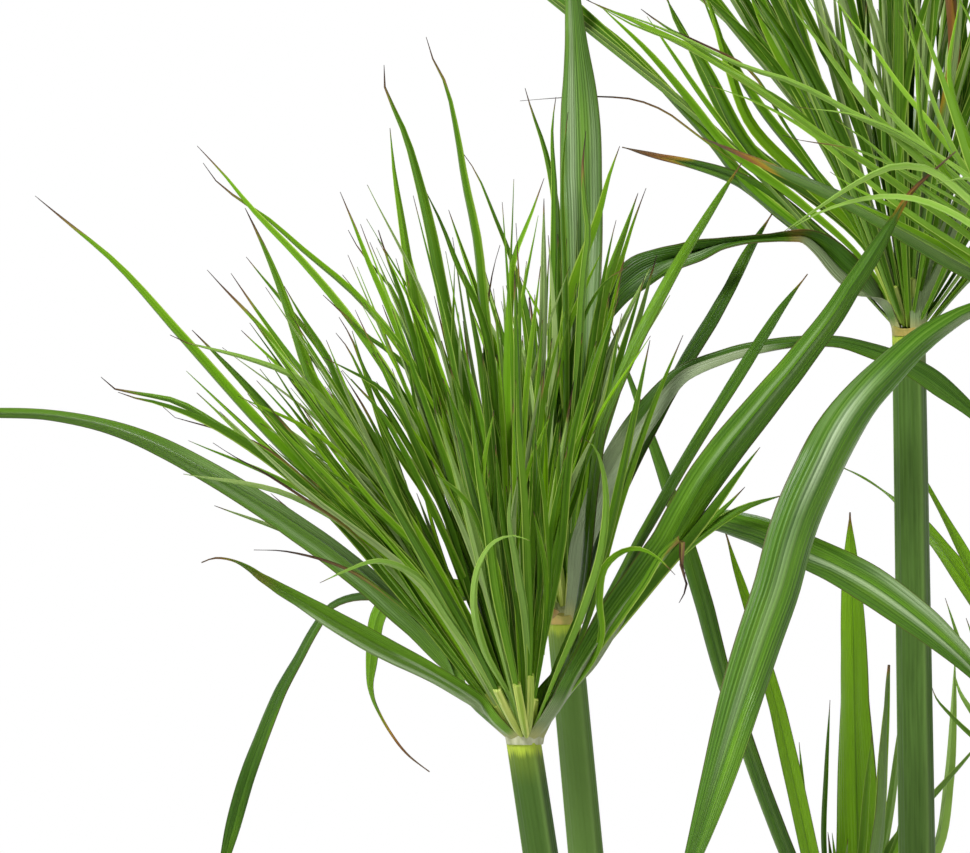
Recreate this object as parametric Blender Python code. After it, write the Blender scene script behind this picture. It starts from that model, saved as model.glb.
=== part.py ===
# Potted papyrus plant: a clay pot of soil with eight stems, each carrying a crown of long bracts and rays.
# Metres, +Z up. The origin is the middle of the pot's underside. -Y is the front of the plant.
import math

import bmesh
import bpy
from mathutils import Vector

# Gap between two pieces that touch
GAP = 0.0003

# Pot
POT_HEIGHT = 0.190
POT_BASE_RADIUS = 0.077
POT_MOUTH_RADIUS = 0.099
POT_WALL = 0.0075
POT_FLOOR = 0.010
RIM_HEIGHT = 0.030
RIM_OVERHANG = 0.0055
RIM_ROUNDING = 0.0022
POT_SEGMENTS = 48

# Soil
SOIL_LEVEL = 0.168
SOIL_MOUND = 0.006
SOIL_ROUGHNESS = 0.0022
SOIL_RINGS = 4
SOIL_SEGMENTS = 24
PLANTED_DEPTH = 0.030

# Stems: three-cornered, thicker at the foot
STEM_FOOT_RADIUS = 0.0059
STEM_TOP_RADIUS = 0.0041
STEM_SIDES = 9
STEM_RINGS = 7
STEM_CORNER = 0.13
STEM_CORNER_AZIMUTH = math.radians(-62)
STEM_CURVE = 0.12

# Brown sheath round the foot of a stem
SHEATH_WALL = 0.0008
SHEATH_HEIGHT = 0.075
SHEATH_SLANT = 0.018
SHEATH_TURN = math.radians(40)
SHEATH_RINGS = 3

# Crown of rays on top of a stem: three rings of faces on a small dome, each drawn out into a ray
CROWN_SIDES = 12
CROWN_RADIUS = 0.0036
CROWN_SHOULDER = (0.68, 0.0050)
CROWN_NECK_HEIGHT = 0.0022
CROWN_TOP = (0.32, 0.0062)
RAY_WIDTH = 0.0042
RAY_THICKNESS = 0.0016
RAY_STATIONS = ((0.30, 0.62), (0.62, 1.0))
RAY_SAG = 0.05
RAY_SHORTER_STEP = 0.07
RAY_MIDDLE_SPREAD = 2
RAY_CLEARANCE = math.radians(11)

# Bracts: folded blades that stand round the crown
BRACT_HALF_SECTOR = 34
BRACT_STEPS = 8
BRACT_ROOT_RADIUS = 0.0051
BRACT_ROOT_WIDTH = 0.0031
BRACT_ROOT_HEIGHT = 0.0010
BRACT_ROOT_THICKNESS = 0.0010
BRACT_TIP_THICKNESS = 0.0006
BRACT_FOLD = 0.20
BRACT_STATIONS = 11
BRACT_SPREAD_AT = 0.30
BRACT_TAPER_FROM = 0.45


def rad(degrees):
    return math.radians(degrees)


def smoothstep(t):
    t = min(1.0, max(0.0, t))
    return t * t * (3 - 2 * t)


def lerp(a, b, t):
    return a + (b - a) * t


# Directions along a blade at equal steps, seen from the front:
# lean is the angle from upright towards the right, reach the angle towards the back.
def front_view(leans, reach):
    found = []
    for i, lean in enumerate(leans):
        back = rad(lerp(reach[0], reach[1], i / (len(leans) - 1)))
        side = rad(lean)
        across = math.cos(back)
        found.append(Vector((math.sin(side) * across, math.sin(back), math.cos(side) * across)))
    return found


# Directions along a blade at equal steps, seen from above:
# it heads for one azimuth, at these angles from upright.
def plan_view(azimuth, tilts):
    heading = Vector((math.cos(rad(azimuth)), math.sin(rad(azimuth)), 0))
    return [heading * math.sin(rad(tilt)) + Vector((0, 0, math.cos(rad(tilt)))) for tilt in tilts]


# One stem and all it carries. Rays: length, spread of the outer and inner ring, twist, tilt of the whole fan.
# A bract: azimuth where it stands on the crown, length, width, directions.
HEADS = {
    "a": {
        "foot": (-0.020, -0.014),
        "top": (-0.0852, -0.035, 0.6225),
        "rays": {"length": 0.172, "outer": 47, "inner": 25, "twist": 0, "lean": (-7, -5)},
        "bracts": {
            "left_arch": (165, 0.191, 0.0105,
                          front_view((-49, -46, -41, -54, -63, -82, -94, -116), (-8, -12))),
            "short_left": (225, 0.093, 0.0072, front_view((-51, -53, -61, -56, -54, -100), (-25, -15))),
            "big_right": (300, 0.176, 0.0125, front_view((42, 25, 29, 37, 39, 43, 29, 43), (-22, -4))),
            "right_arch": (345, 0.165, 0.0105,
                           front_view((25, 33, 34, 53, 112, 119, 130, 136, 148), (-8, 10))),
            "mid_right": (30, 0.137, 0.0066, front_view((29, 32, 29, 32, 30), (14, 16))),
            "narrow_right": (88, 0.158, 0.0066, front_view((26, 18, 18, 23, 26), (22, 6))),
        },
    },
    "b": {
        "foot": (-0.031, 0.020),
        "top": (-0.0747, 0.030, 0.6504),
        "rays": {"length": 0.128, "outer": 24, "inner": 12, "twist": 12, "lean": (0, 2)},
        "bracts": {
            "upright": (100, 0.183, 0.0125, front_view((7, 2, 2, -3, -4), (16, 2))),
            "left_droop": (175, 0.143, 0.0068,
                           front_view((-31, -96, -89, -94, -143, -154, -158, -163, -166, -168), (10, 5))),
            "small_droop": (232, 0.093, 0.0050,
                            front_view((-59, -75, -81, -107, -171, -191, -208, -231), (-10, -4))),
            "right_arch": (300, 0.164, 0.0100, front_view((8, 17, 26, 53, 83, 101, 132, 133), (-14, -4))),
            "back_right": (28, 0.119, 0.0078, front_view((14, 28, 26, 31), (20, 10))),
        },
    },
    "c": {
        "foot": (0.021, 0.024),
        "top": (0.0139, 0.050, 0.7237),
        "rays": {"length": 0.165, "outer": 46, "inner": 25, "twist": 16, "lean": (-1, 0)},
        "bracts": {
            "kinked": (200, 0.105, 0.0100,
                       front_view((-18, -55, -43, -90, -105, -113, -131, -147, -161), (2, 8))),
            "upright": (302, 0.106, 0.0105, front_view((3, 22, 19, 15, 11), (-18, -8))),
            "right_arch": (12, 0.130, 0.0095, front_view((38, 50, 72, 104, 134, 152), (-2, -10))),
            "back_arch": (84, 0.150, 0.0100, plan_view(84, (34, 38, 52, 74, 100, 122))),
            "brown_tip": (148, 0.089, 0.0070, front_view((-13, -48, -55, -71, -83), (12, 4))),
        },
    },
    "d": {
        "foot": (0.036, -0.020),
        "top": (0.0784, -0.060, 0.6967),
        "rays": {"length": 0.088, "outer": 36, "inner": 18, "twist": 0, "lean": (6, -4)},
        "bracts": {
            "long_arch": (250, 0.240, 0.0150,
                          front_view((-29, -49, -83, -119, -145, -159, -160, -160, -159, -163), (-14, -6))),
            "front_arch": (318, 0.165, 0.0110, plan_view(318, (40, 44, 56, 78, 104, 124))),
            "right_arch": (18, 0.150, 0.0100, plan_view(18, (42, 44, 52, 68, 88, 108))),
            "upright": (110, 0.130, 0.0095, plan_view(110, (26, 20, 18, 22, 30))),
        },
    },
    "e": {
        "foot": (0.045, 0.012),
        "top": (0.0960, 0.0900, 0.7850),
        "rays": {"length": 0.160, "outer": 42, "inner": 24, "twist": 0, "lean": (11, 9)},
        "bracts": {
            "front_arch": (338, 0.150, 0.0110, plan_view(338, (42, 44, 56, 76, 98, 116))),
            "right_arch": (40, 0.185, 0.0115, plan_view(40, (48, 50, 62, 82, 104, 126))),
            "back_blade": (115, 0.160, 0.0100, plan_view(115, (50, 50, 50, 54, 62))),
            "left_blade": (205, 0.110, 0.0090, plan_view(205, (34, 28, 24, 24, 30))),
        },
    },
    "f": {
        "foot": (0.022, 0.052),
        "top": (0.0664, 0.100, 0.5967),
        "rays": {"length": 0.060, "outer": 34, "inner": 18, "twist": 16, "lean": (5, 6)},
        "bracts": {
            "left_blade": (190, 0.107, 0.0070, front_view((-16, -28, -27, -28), (-4, -6))),
            "right_arch": (5, 0.160, 0.0105, plan_view(4, (42, 46, 60, 84, 110, 132))),
            "back_arch": (70, 0.175, 0.0110, plan_view(68, (42, 46, 62, 86, 110, 130))),
            "rear_blade": (130, 0.140, 0.0095, plan_view(130, (38, 36, 42, 56, 76))),
        },
    },
    "g": {
        "foot": (-0.006, 0.043),
        "top": (-0.0022, 0.080, 0.5522),
        "rays": {"length": 0.070, "outer": 12, "inner": 7, "twist": 8, "lean": (0, 1)},
        "bracts": {
            "long_left": (180, 0.183, 0.0064, front_view((-6, -21, -20, -16, -19, -20), (4, 6))),
            "left": (245, 0.123, 0.0062, front_view((-9, -14, -14, -20), (-10, -5))),
            "upright": (80, 0.125, 0.0115, front_view((9, 1, -1, -1), (12, 3))),
            "right": (345, 0.087, 0.0078, front_view((3, 10, 1, 3), (-12, -8))),
        },
    },
    "h": {
        "foot": (-0.001, -0.040),
        "top": (-0.018, -0.076, 0.4080),
        "rays": None,
        "bracts": {
            "tall": (75, 0.150, 0.0110, plan_view(75, (6, 5, 4, 4))),
            "left": (195, 0.128, 0.0095, plan_view(195, (13, 9, 9, 12))),
            "right": (315, 0.106, 0.0090, plan_view(315, (15, 12, 12, 16))),
        },
    },
}


def material(name, colour, roughness):
    made = bpy.data.materials.new(name)
    made.use_nodes = True
    shader = made.node_tree.nodes["Principled BSDF"]
    shader.inputs["Base Color"].default_value = (*colour, 1)
    shader.inputs["Roughness"].default_value = roughness
    shader.inputs["Metallic"].default_value = 0
    made.diffuse_color = (*colour, 1)
    return made


CLAY = material("clay", (0.52, 0.24, 0.14), 0.85)
SOIL = material("soil", (0.045, 0.030, 0.020), 0.95)
STEM = material("stem_green", (0.085, 0.180, 0.050), 0.45)
SHEATH = material("sheath_brown", (0.160, 0.085, 0.040), 0.60)
RAYS = material("ray_green", (0.110, 0.300, 0.025), 0.45)
BRACT = material("bract_green", (0.090, 0.240, 0.035), 0.35)


def add_object(name, mesh, finish, smooth_angle=None):
    mesh.materials.append(finish)
    if smooth_angle is not None:
        mesh.shade_smooth()
        mesh.set_sharp_from_angle(angle=smooth_angle)
    made = bpy.data.objects.new(name, mesh)
    bpy.context.scene.collection.objects.link(made)
    return made


def mesh_of(name, bm):
    bmesh.ops.recalc_face_normals(bm, faces=bm.faces)
    mesh = bpy.data.meshes.new(name)
    bm.to_mesh(mesh)
    bm.free()
    return mesh


# Four-sided faces that are not flat become pairs of flat triangles
def split_warped(bm):
    bmesh.ops.recalc_face_normals(bm, faces=bm.faces)
    bmesh.ops.triangulate(bm, faces=[face for face in bm.faces if len(face.verts) == 4])


# Faces between neighbouring rings of vertices. A ring of one vertex is a point.
def bridge_rings(bm, rings):
    for low, high in zip(rings, rings[1:]):
        count = max(len(low), len(high))
        for i in range(count):
            j = (i + 1) % count
            if len(high) == 1:
                bm.faces.new((low[i], low[j], high[0]))
            elif len(low) == 1:
                bm.faces.new((low[0], high[j], high[i]))
            else:
                bm.faces.new((low[i], low[j], high[j], high[i]))


# A profile of (radius, height) points turned round the Z axis
def turned(name, profile, segments):
    bm = bmesh.new()
    rings = []
    for radius, height in profile:
        if radius == 0:
            rings.append([bm.verts.new((0, 0, height))])
            continue
        turns = [2 * math.pi * i / segments for i in range(segments)]
        rings.append([bm.verts.new((radius * math.cos(a), radius * math.sin(a), height)) for a in turns])
    bridge_rings(bm, rings)
    return mesh_of(name, bm)


def pot_inner_radius(height):
    return lerp(POT_BASE_RADIUS, POT_MOUTH_RADIUS, height / POT_HEIGHT) - POT_WALL


# The corner of a turned profile, rounded in short steps
def rounded(radius, height, size, start, end, steps=3):
    turns = [lerp(start, end, i / steps) for i in range(steps + 1)]
    return [(radius + size * math.cos(rad(a)), height + size * math.sin(rad(a))) for a in turns]


def pot():
    rim_foot = POT_HEIGHT - RIM_HEIGHT
    rim_radius = POT_MOUTH_RADIUS + RIM_OVERHANG
    wall_at_rim = lerp(POT_BASE_RADIUS, POT_MOUTH_RADIUS, rim_foot / POT_HEIGHT)
    r = RIM_ROUNDING
    profile = [(0, 0), (POT_BASE_RADIUS - r, 0), (POT_BASE_RADIUS, r)]
    profile += [(wall_at_rim, rim_foot - 0.001)]
    profile += [(rim_radius - 0.0015, rim_foot), (rim_radius - 0.0003, rim_foot + 0.0015)]
    profile += rounded(rim_radius - r, POT_HEIGHT - r, r, 0, 90)
    profile += rounded(pot_inner_radius(POT_HEIGHT) + r, POT_HEIGHT - r, r, 90, 180)
    profile += [(pot_inner_radius(POT_FLOOR), POT_FLOOR), (0, POT_FLOOR)]
    add_object("pot", turned("pot", profile, POT_SEGMENTS), CLAY, rad(30))


def soil_height(x, y):
    edge = pot_inner_radius(SOIL_LEVEL)
    away = min(1.0, math.hypot(x, y) / edge)
    return SOIL_LEVEL + SOIL_MOUND * (1 - away * away)


def soil():
    bm = bmesh.new()
    bottom = POT_FLOOR + GAP
    edge = pot_inner_radius(SOIL_LEVEL) - GAP * 2
    foot = pot_inner_radius(bottom) - GAP * 2
    turns = [2 * math.pi * i / SOIL_SEGMENTS for i in range(SOIL_SEGMENTS)]
    rings = [[bm.verts.new((0, 0, bottom))]]
    rings.append([bm.verts.new((foot * math.cos(a), foot * math.sin(a), bottom)) for a in turns])
    for k in range(SOIL_RINGS):
        share = 1 - k / SOIL_RINGS
        ring = []
        for i, a in enumerate(turns):
            x, y = edge * share * math.cos(a), edge * share * math.sin(a)
            lump = SOIL_ROUGHNESS * math.sin(2.7 * i + 1.9 * k) * math.sin(1.3 * i - 2.2 * k)
            ring.append(bm.verts.new((x, y, soil_height(x, y) + (lump if k else 0))))
        rings.append(ring)
    rings.append([bm.verts.new((0, 0, soil_height(0, 0)))])
    bridge_rings(bm, rings)
    bmesh.ops.triangulate(bm, faces=bm.faces)
    made = add_object("soil", mesh_of("soil", bm), SOIL)
    for key, head in HEADS.items():
        holes = made.modifiers.new("hole_" + key, "BOOLEAN")
        holes.operation = "DIFFERENCE"
        holes.object = planting_hole(key, head)


# Middle of a stem at a share t of its height. It starts steeper than it ends.
def stem_centre(head, t):
    x, y = head["foot"]
    top_x, top_y, top_z = head["top"]
    foot_z = soil_height(x, y) - PLANTED_DEPTH
    moved = (1 - STEM_CURVE) * t + STEM_CURVE * t * t
    return Vector((lerp(x, top_x, moved), lerp(y, top_y, moved), lerp(foot_z, top_z, t)))


def stem_share(head, height):
    low = stem_centre(head, 0).z
    return (height - low) / (head["top"][2] - low)


# A ring of the stem's three-cornered section at share t, widened by extra. A slant lifts one side of it.
def stem_ring(bm, head, t, extra=0.0, slant=0.0, slant_turn=0.0):
    height = head["top"][2] - stem_centre(head, 0).z
    ring = []
    for i in range(STEM_SIDES):
        a = 2 * math.pi * i / STEM_SIDES + STEM_CORNER_AZIMUTH
        share = t + slant * math.cos(a - slant_turn) / height
        radius = lerp(STEM_FOOT_RADIUS, STEM_TOP_RADIUS, share)
        reach = radius * (1 + (STEM_CORNER if i % 3 == 0 else -STEM_CORNER * 0.25)) + extra
        centre = stem_centre(head, share)
        ring.append(bm.verts.new(centre + Vector((reach * math.cos(a), reach * math.sin(a), 0))))
    return ring


def stem(key, head):
    bm = bmesh.new()
    rings = [stem_ring(bm, head, i / (STEM_RINGS - 1)) for i in range(STEM_RINGS)]
    bridge_rings(bm, rings)
    bm.faces.new(rings[0][::-1])
    bm.faces.new(rings[-1])
    add_object("stem_" + key, mesh_of("stem_" + key, bm), STEM, rad(50))


# A sleeve round the stem's foot, cut off on a slant at the top
def sheath(key, head):
    bm = bmesh.new()
    top = stem_share(head, soil_height(*head["foot"]) + SHEATH_HEIGHT)
    turn = SHEATH_TURN * list(HEADS).index(key)
    walls = []
    for extra in (GAP * 2 + SHEATH_WALL, GAP * 2):
        wall = []
        for i in range(SHEATH_RINGS):
            part = i / (SHEATH_RINGS - 1)
            wall.append(stem_ring(bm, head, top * part, extra, SHEATH_SLANT * part, turn))
        walls.append(wall)
    outer, inner = walls
    bridge_rings(bm, outer + inner[::-1] + [outer[0]])
    add_object("sheath_" + key, mesh_of("sheath_" + key, bm), SHEATH, rad(50))


# Cuts the soil where a stem and its sheath stand
def planting_hole(key, head):
    bm = bmesh.new()
    room = GAP * 4 + SHEATH_WALL
    top = stem_share(head, SOIL_LEVEL + SOIL_MOUND + 0.02)
    rings = [stem_ring(bm, head, 0, room), stem_ring(bm, head, top, room)]
    for vert in rings[0]:
        vert.co.z -= GAP
    bridge_rings(bm, rings)
    bm.faces.new(rings[0][::-1])
    bm.faces.new(rings[1])
    cutter = add_object("hole_" + key, mesh_of("hole_" + key, bm), SOIL)
    cutter.hide_render = True
    cutter.display_type = "WIRE"
    return cutter


def crown_foot(head):
    return Vector(head["top"]) + Vector((0, 0, GAP))


# How far a ray may spread at an azimuth: beside a bract it stays inside the bract's own lean
def clear_of_bracts(azimuth, spread, head):
    free = spread
    for at, _, _, directions in head["bracts"].values():
        away = abs((math.degrees(azimuth) - at + 180) % 360 - 180)
        lower_half = directions[:len(directions) // 2 + 1]
        inside = min(d.angle(Vector((0, 0, 1))) for d in lower_half) - RAY_CLEARANCE
        free = min(free, lerp(max(0.0, inside), spread, smoothstep(away / BRACT_HALF_SECTOR)))
    return free


# Draws one face of the crown out into a ray: it widens to a flat bundle of blades and ends in a point
def draw_out(bm, face, direction, length):
    start = face.calc_center_median()
    corners = list(face.verts)
    across = Vector((-direction.y, direction.x, 0))
    across = across.normalized() if across.length > 0.05 else Vector((1, 0, 0))
    through = direction.cross(across).normalized()
    bm.faces.remove(face)
    last = corners
    sag = Vector((0, 0, -1))
    for share, scale in RAY_STATIONS:
        middle = start + direction * (length * share) + sag * (RAY_SAG * length * share * share)
        ring = []
        for corner in corners:
            offset = corner.co - start
            side = 1 if offset.dot(across) > 0 else -1
            up = 1 if offset.dot(through) > 0 else -1
            ring.append(bm.verts.new(middle + across * (side * RAY_WIDTH * scale / 2)
                                     + through * (up * RAY_THICKNESS * scale / 2)))
        for i, vert in enumerate(last):
            j = (i + 1) % len(last)
            bm.faces.new((vert, last[j], ring[j], ring[i]))
        last = ring
    tip = bm.verts.new(start + direction * length + sag * (RAY_SAG * length))
    for i, vert in enumerate(last):
        bm.faces.new((vert, last[(i + 1) % len(last)], tip))


def crown_ring(bm, foot, share, height, sides, turn):
    radius = CROWN_RADIUS * share
    turns = [2 * math.pi * i / sides + turn for i in range(sides)]
    return [bm.verts.new(foot + Vector((radius * math.cos(a), radius * math.sin(a), height))) for a in turns]


def rays(key, head):
    fan = head["rays"]
    bm = bmesh.new()
    foot = crown_foot(head)
    turn = rad(fan["twist"])
    half_side = math.pi / CROWN_SIDES
    base = crown_ring(bm, foot, 1, 0, CROWN_SIDES, turn)
    low = crown_ring(bm, foot, 1, CROWN_NECK_HEIGHT, CROWN_SIDES, turn)
    high = crown_ring(bm, foot, *CROWN_SHOULDER, CROWN_SIDES, turn)
    top = crown_ring(bm, foot, *CROWN_TOP, CROWN_SIDES // 2, turn + half_side)
    bm.faces.new(base[::-1])
    bridge_rings(bm, [base, low])
    outer = []
    for i in range(CROWN_SIDES):
        j = (i + 1) % CROWN_SIDES
        outer.append(bm.faces.new((low[i], low[j], high[j], high[i])))
    inner = []
    for i in range(CROWN_SIDES // 2):
        a, b, c = high[2 * i - 1], high[2 * i], high[2 * i + 1]
        inner.append(bm.faces.new((a, b, c, top[i], top[i - 1])))
    middle = bm.faces.new(top)
    lean = Vector((math.sin(rad(fan["lean"][0])), math.sin(rad(fan["lean"][1])), 0))
    for number, face in enumerate(outer + inner + [middle]):
        away = face.calc_center_median() - foot
        azimuth = math.atan2(away.y, away.x)
        widest = fan["outer"] if face in outer else fan["inner"] if face in inner else RAY_MIDDLE_SPREAD
        spread = clear_of_bracts(azimuth, rad(widest), head)
        direction = Vector((math.sin(spread) * math.cos(azimuth),
                            math.sin(spread) * math.sin(azimuth), math.cos(spread)))
        direction = (direction + lean).normalized()
        length = fan["length"] * (1 - RAY_SHORTER_STEP * (number * 5 % 3))
        draw_out(bm, face, direction, length)
    split_warped(bm)
    add_object("rays_" + key, mesh_of("rays_" + key, bm), RAYS)


# Smooth curve through directions given at equal steps
def direction_at(directions, t):
    place = t * (len(directions) - 1)
    i = min(int(place), len(directions) - 2)
    u = place - i
    before = directions[max(i - 1, 0)]
    after = directions[min(i + 2, len(directions) - 1)]
    a, b = directions[i], directions[i + 1]
    bent = (a * 2 + (b - before) * u + (before * 2 - a * 5 + b * 4 - after) * u * u
            + (a * 3 - before - b * 3 + after) * u * u * u)
    return bent.normalized()


# Share of a bract's full width at share t of its length
def bract_width(t, width):
    root = BRACT_ROOT_WIDTH / width
    spread = lerp(root, 1.0, smoothstep(t / BRACT_SPREAD_AT))
    taper = 1 - (max(0.0, t - BRACT_TAPER_FROM) / (1 - BRACT_TAPER_FROM)) ** 1.5
    return width * spread * taper


# A blade with a V-shaped section, swept along its directions and ending in a point
def bract(name, head, at, length, width, directions):
    bm = bmesh.new()
    outward = Vector((math.cos(rad(at)), math.sin(rad(at)), 0))
    level = outward.cross(Vector((0, 0, 1)))
    place = crown_foot(head) + outward * BRACT_ROOT_RADIUS + Vector((0, 0, BRACT_ROOT_HEIGHT))
    rings = []
    for i in range(BRACT_STATIONS + 1):
        t = i / BRACT_STATIONS
        if i:
            for k in range(BRACT_STEPS):
                share = (i - 1 + (k + 0.5) / BRACT_STEPS) / BRACT_STATIONS
                place = place + direction_at(directions, share) * (length / BRACT_STATIONS / BRACT_STEPS)
        if i == BRACT_STATIONS:
            rings.append([bm.verts.new(place)])
            break
        along = direction_at(directions, t)
        side = (level - along * level.dot(along)).normalized()
        face = side.cross(along)
        half = bract_width(t, width) / 2
        fold = half * 2 * BRACT_FOLD
        thick = lerp(BRACT_ROOT_THICKNESS, BRACT_TIP_THICKNESS, t) / 2
        rings.append([bm.verts.new(place - side * half + face * fold),
                      bm.verts.new(place - face * thick),
                      bm.verts.new(place + side * half + face * fold),
                      bm.verts.new(place + face * thick)])
    bridge_rings(bm, rings)
    bm.faces.new(rings[0])
    split_warped(bm)
    add_object(name, mesh_of(name, bm), BRACT, rad(40))


def clear_scene():
    for old in list(bpy.data.objects):
        bpy.data.objects.remove(old)


clear_scene()
pot()
soil()
for key, head in HEADS.items():
    stem(key, head)
    sheath(key, head)
    if head["rays"]:
        rays(key, head)
    for part, (at, length, width, directions) in head["bracts"].items():
        bract(f"bract_{key}_{part}", head, at, length, width, directions)
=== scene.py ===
# Potted papyrus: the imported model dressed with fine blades, rays, stems, a clay pot and potting soil
import math
import random

import bpy
import numpy as np
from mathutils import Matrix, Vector, noise


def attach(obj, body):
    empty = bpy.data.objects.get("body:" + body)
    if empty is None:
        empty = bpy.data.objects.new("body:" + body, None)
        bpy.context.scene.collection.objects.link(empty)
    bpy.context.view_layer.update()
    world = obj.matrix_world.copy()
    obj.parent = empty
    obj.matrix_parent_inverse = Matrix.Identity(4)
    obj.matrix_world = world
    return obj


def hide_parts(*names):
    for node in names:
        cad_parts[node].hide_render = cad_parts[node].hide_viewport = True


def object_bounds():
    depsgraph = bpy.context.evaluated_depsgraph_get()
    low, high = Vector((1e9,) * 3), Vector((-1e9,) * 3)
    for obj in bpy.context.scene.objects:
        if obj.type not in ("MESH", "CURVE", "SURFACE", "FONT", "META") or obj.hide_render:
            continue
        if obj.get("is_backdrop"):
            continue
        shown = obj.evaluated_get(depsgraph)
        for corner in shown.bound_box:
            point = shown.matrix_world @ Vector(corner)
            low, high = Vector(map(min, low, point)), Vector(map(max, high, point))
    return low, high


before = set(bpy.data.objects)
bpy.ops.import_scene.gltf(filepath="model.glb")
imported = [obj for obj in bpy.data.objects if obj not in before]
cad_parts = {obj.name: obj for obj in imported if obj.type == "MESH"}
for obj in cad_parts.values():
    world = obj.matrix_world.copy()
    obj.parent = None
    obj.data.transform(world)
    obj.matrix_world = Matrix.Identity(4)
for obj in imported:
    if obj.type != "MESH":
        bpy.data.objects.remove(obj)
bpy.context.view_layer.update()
scene = bpy.context.scene
print("frame loaded")


# small helpers used by every piece
def deselectAll():
    if bpy.context.object and bpy.context.object.mode != "OBJECT":
        bpy.ops.object.mode_set(mode="OBJECT")
    bpy.ops.object.select_all(action="DESELECT")


def pickParts(piece, kind, test):  # select faces, edges or verts of a mesh in code, then go to edit mode
    bpy.ops.object.mode_set(mode="EDIT")
    bpy.ops.mesh.select_mode(type=kind)
    bpy.ops.mesh.select_all(action="DESELECT")
    bpy.ops.object.mode_set(mode="OBJECT")
    mesh = piece.data
    parts = {"FACE": mesh.polygons, "EDGE": mesh.edges, "VERT": mesh.vertices}[kind]
    for part in parts:
        part.select = bool(test(part))
    bpy.ops.object.mode_set(mode="EDIT")


def applyModifiers(piece):
    deselectAll()
    piece.select_set(True)
    bpy.context.view_layer.objects.active = piece
    for modifier in list(piece.modifiers):
        bpy.ops.object.modifier_apply(modifier=modifier.name)


def applyPlace(piece):  # a finished piece stands at the origin, unturned and unscaled
    deselectAll()
    piece.select_set(True)
    bpy.context.view_layer.objects.active = piece
    bpy.ops.object.transform_apply(location=True, rotation=True, scale=True)


def finishPiece(piece, nodeNames=(), smoothAngle=None):
    if smoothAngle is not None:
        deselectAll()
        piece.select_set(True)
        bpy.context.view_layer.objects.active = piece
        bpy.ops.object.shade_smooth_by_angle(angle=math.radians(smoothAngle))
    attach(piece, "root")
    if nodeNames:
        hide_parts(*nodeNames)


def smoothStep(t):
    t = np.clip(t, 0, 1)
    return t * t * (3 - 2 * t)


def mix(a, b, t):
    return a + (b - a) * t


def unit(v):
    return v / np.maximum(np.linalg.norm(v, axis=-1, keepdims=True), 1e-9)


# camera: level and far away, close on the upper left of the plant
cameraValues = {"x": -0.095, "y": -2.0, "z": 0.70, "focalPixels": 8000.0, "widthPixels": 970, "heightPixels": 853}
bpy.ops.object.camera_add(location=(cameraValues["x"], cameraValues["y"], cameraValues["z"]),
                          rotation=(math.pi / 2, 0, 0))
camera = bpy.context.object
camera.data.sensor_width = 36
camera.data.lens = 36 * cameraValues["focalPixels"] / cameraValues["widthPixels"]
scene.camera = camera


def fromView(pixel, depth):  # the place that shows at a pixel of the view, at this distance along Y
    reach = (depth - cameraValues["y"]) / cameraValues["focalPixels"]
    return np.array([cameraValues["x"] + (pixel[0] - cameraValues["widthPixels"] / 2) * reach, depth,
                     cameraValues["z"] - (pixel[1] - cameraValues["heightPixels"] / 2) * reach])


def toView(place):  # the pixel where a place shows
    reach = (place[..., 1] - cameraValues["y"]) / cameraValues["focalPixels"]
    return np.stack([(place[..., 0] - cameraValues["x"]) / reach + cameraValues["widthPixels"] / 2,
                     cameraValues["heightPixels"] / 2 - (place[..., 2] - cameraValues["z"]) / reach], axis=-1)


# plain light studio
studio = {"horizon": 1.0, "dome": 0.22, "keyPower": 60, "fillPower": 5, "backPower": 14, "floorRadius": 4.5}


def addSoftLight(name, place, target, size, power):
    deselectAll()
    bpy.ops.object.light_add(type="AREA", location=place)
    light = bpy.context.object
    light.name = name
    light.data.shape = "DISK"
    light.data.size = size
    light.data.energy = power
    light.rotation_euler = (Vector(target) - Vector(place)).to_track_quat("-Z", "Y").to_euler()


addSoftLight("keyLight", (-1.3, -1.5, 2.1), (0, 0, 0.6), 0.8, studio["keyPower"])
addSoftLight("fillLight", (1.9, -1.4, 1.2), (0, 0, 0.55), 1.6, studio["fillPower"])
addSoftLight("backLight", (0.5, 1.9, 2.0), (0, 0, 0.6), 1.2, studio["backPower"])
world = bpy.data.worlds.new("studioWorld")
scene.world = world
world.use_nodes = True
sky = world.node_tree
skyway = sky.nodes.new("ShaderNodeTexCoord")
height = sky.nodes.new("ShaderNodeSeparateXYZ")
level = sky.nodes.new("ShaderNodeMath")
level.operation = "ABSOLUTE"
dimming = sky.nodes.new("ShaderNodeMapRange")
dimming.interpolation_type = "SMOOTHSTEP"
for socket, value in zip(dimming.inputs[1:5], (0.10, 0.40, studio["horizon"], studio["dome"])):
    socket.default_value = value
sky.links.new(skyway.outputs["Generated"], height.inputs[0])
sky.links.new(height.outputs[2], level.inputs[0])
sky.links.new(level.outputs[0], dimming.inputs[0])
sky.links.new(dimming.outputs[0], sky.nodes["Background"].inputs["Strength"])
sky.nodes["Background"].inputs["Color"].default_value = (1, 1, 1, 1)
scene.view_settings.view_transform = "Standard"
scene.view_settings.look = "None"
print("camera and lights")


# node helpers for the finishes
def paint(red, green, blue):  # a colour by its usual 0 to 255 values
    def line(value):
        value /= 255
        return value / 12.92 if value <= 0.04045 else ((value + 0.055) / 1.055) ** 2.4
    return (line(red), line(green), line(blue), 1.0)


def startFinish(name):
    made = bpy.data.materials.new(name)
    made.use_nodes = True
    return made, made.node_tree, made.node_tree.nodes["Principled BSDF"]


def addNode(tree, kind, inputs=None, **settings):
    made = tree.nodes.new("ShaderNode" + kind)
    for key, value in settings.items():
        setattr(made, key, value)
    for key, value in (inputs or {}).items():
        if isinstance(value, bpy.types.NodeSocket):
            tree.links.new(value, made.inputs[key])
        else:
            made.inputs[key].default_value = value
    return made


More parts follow.
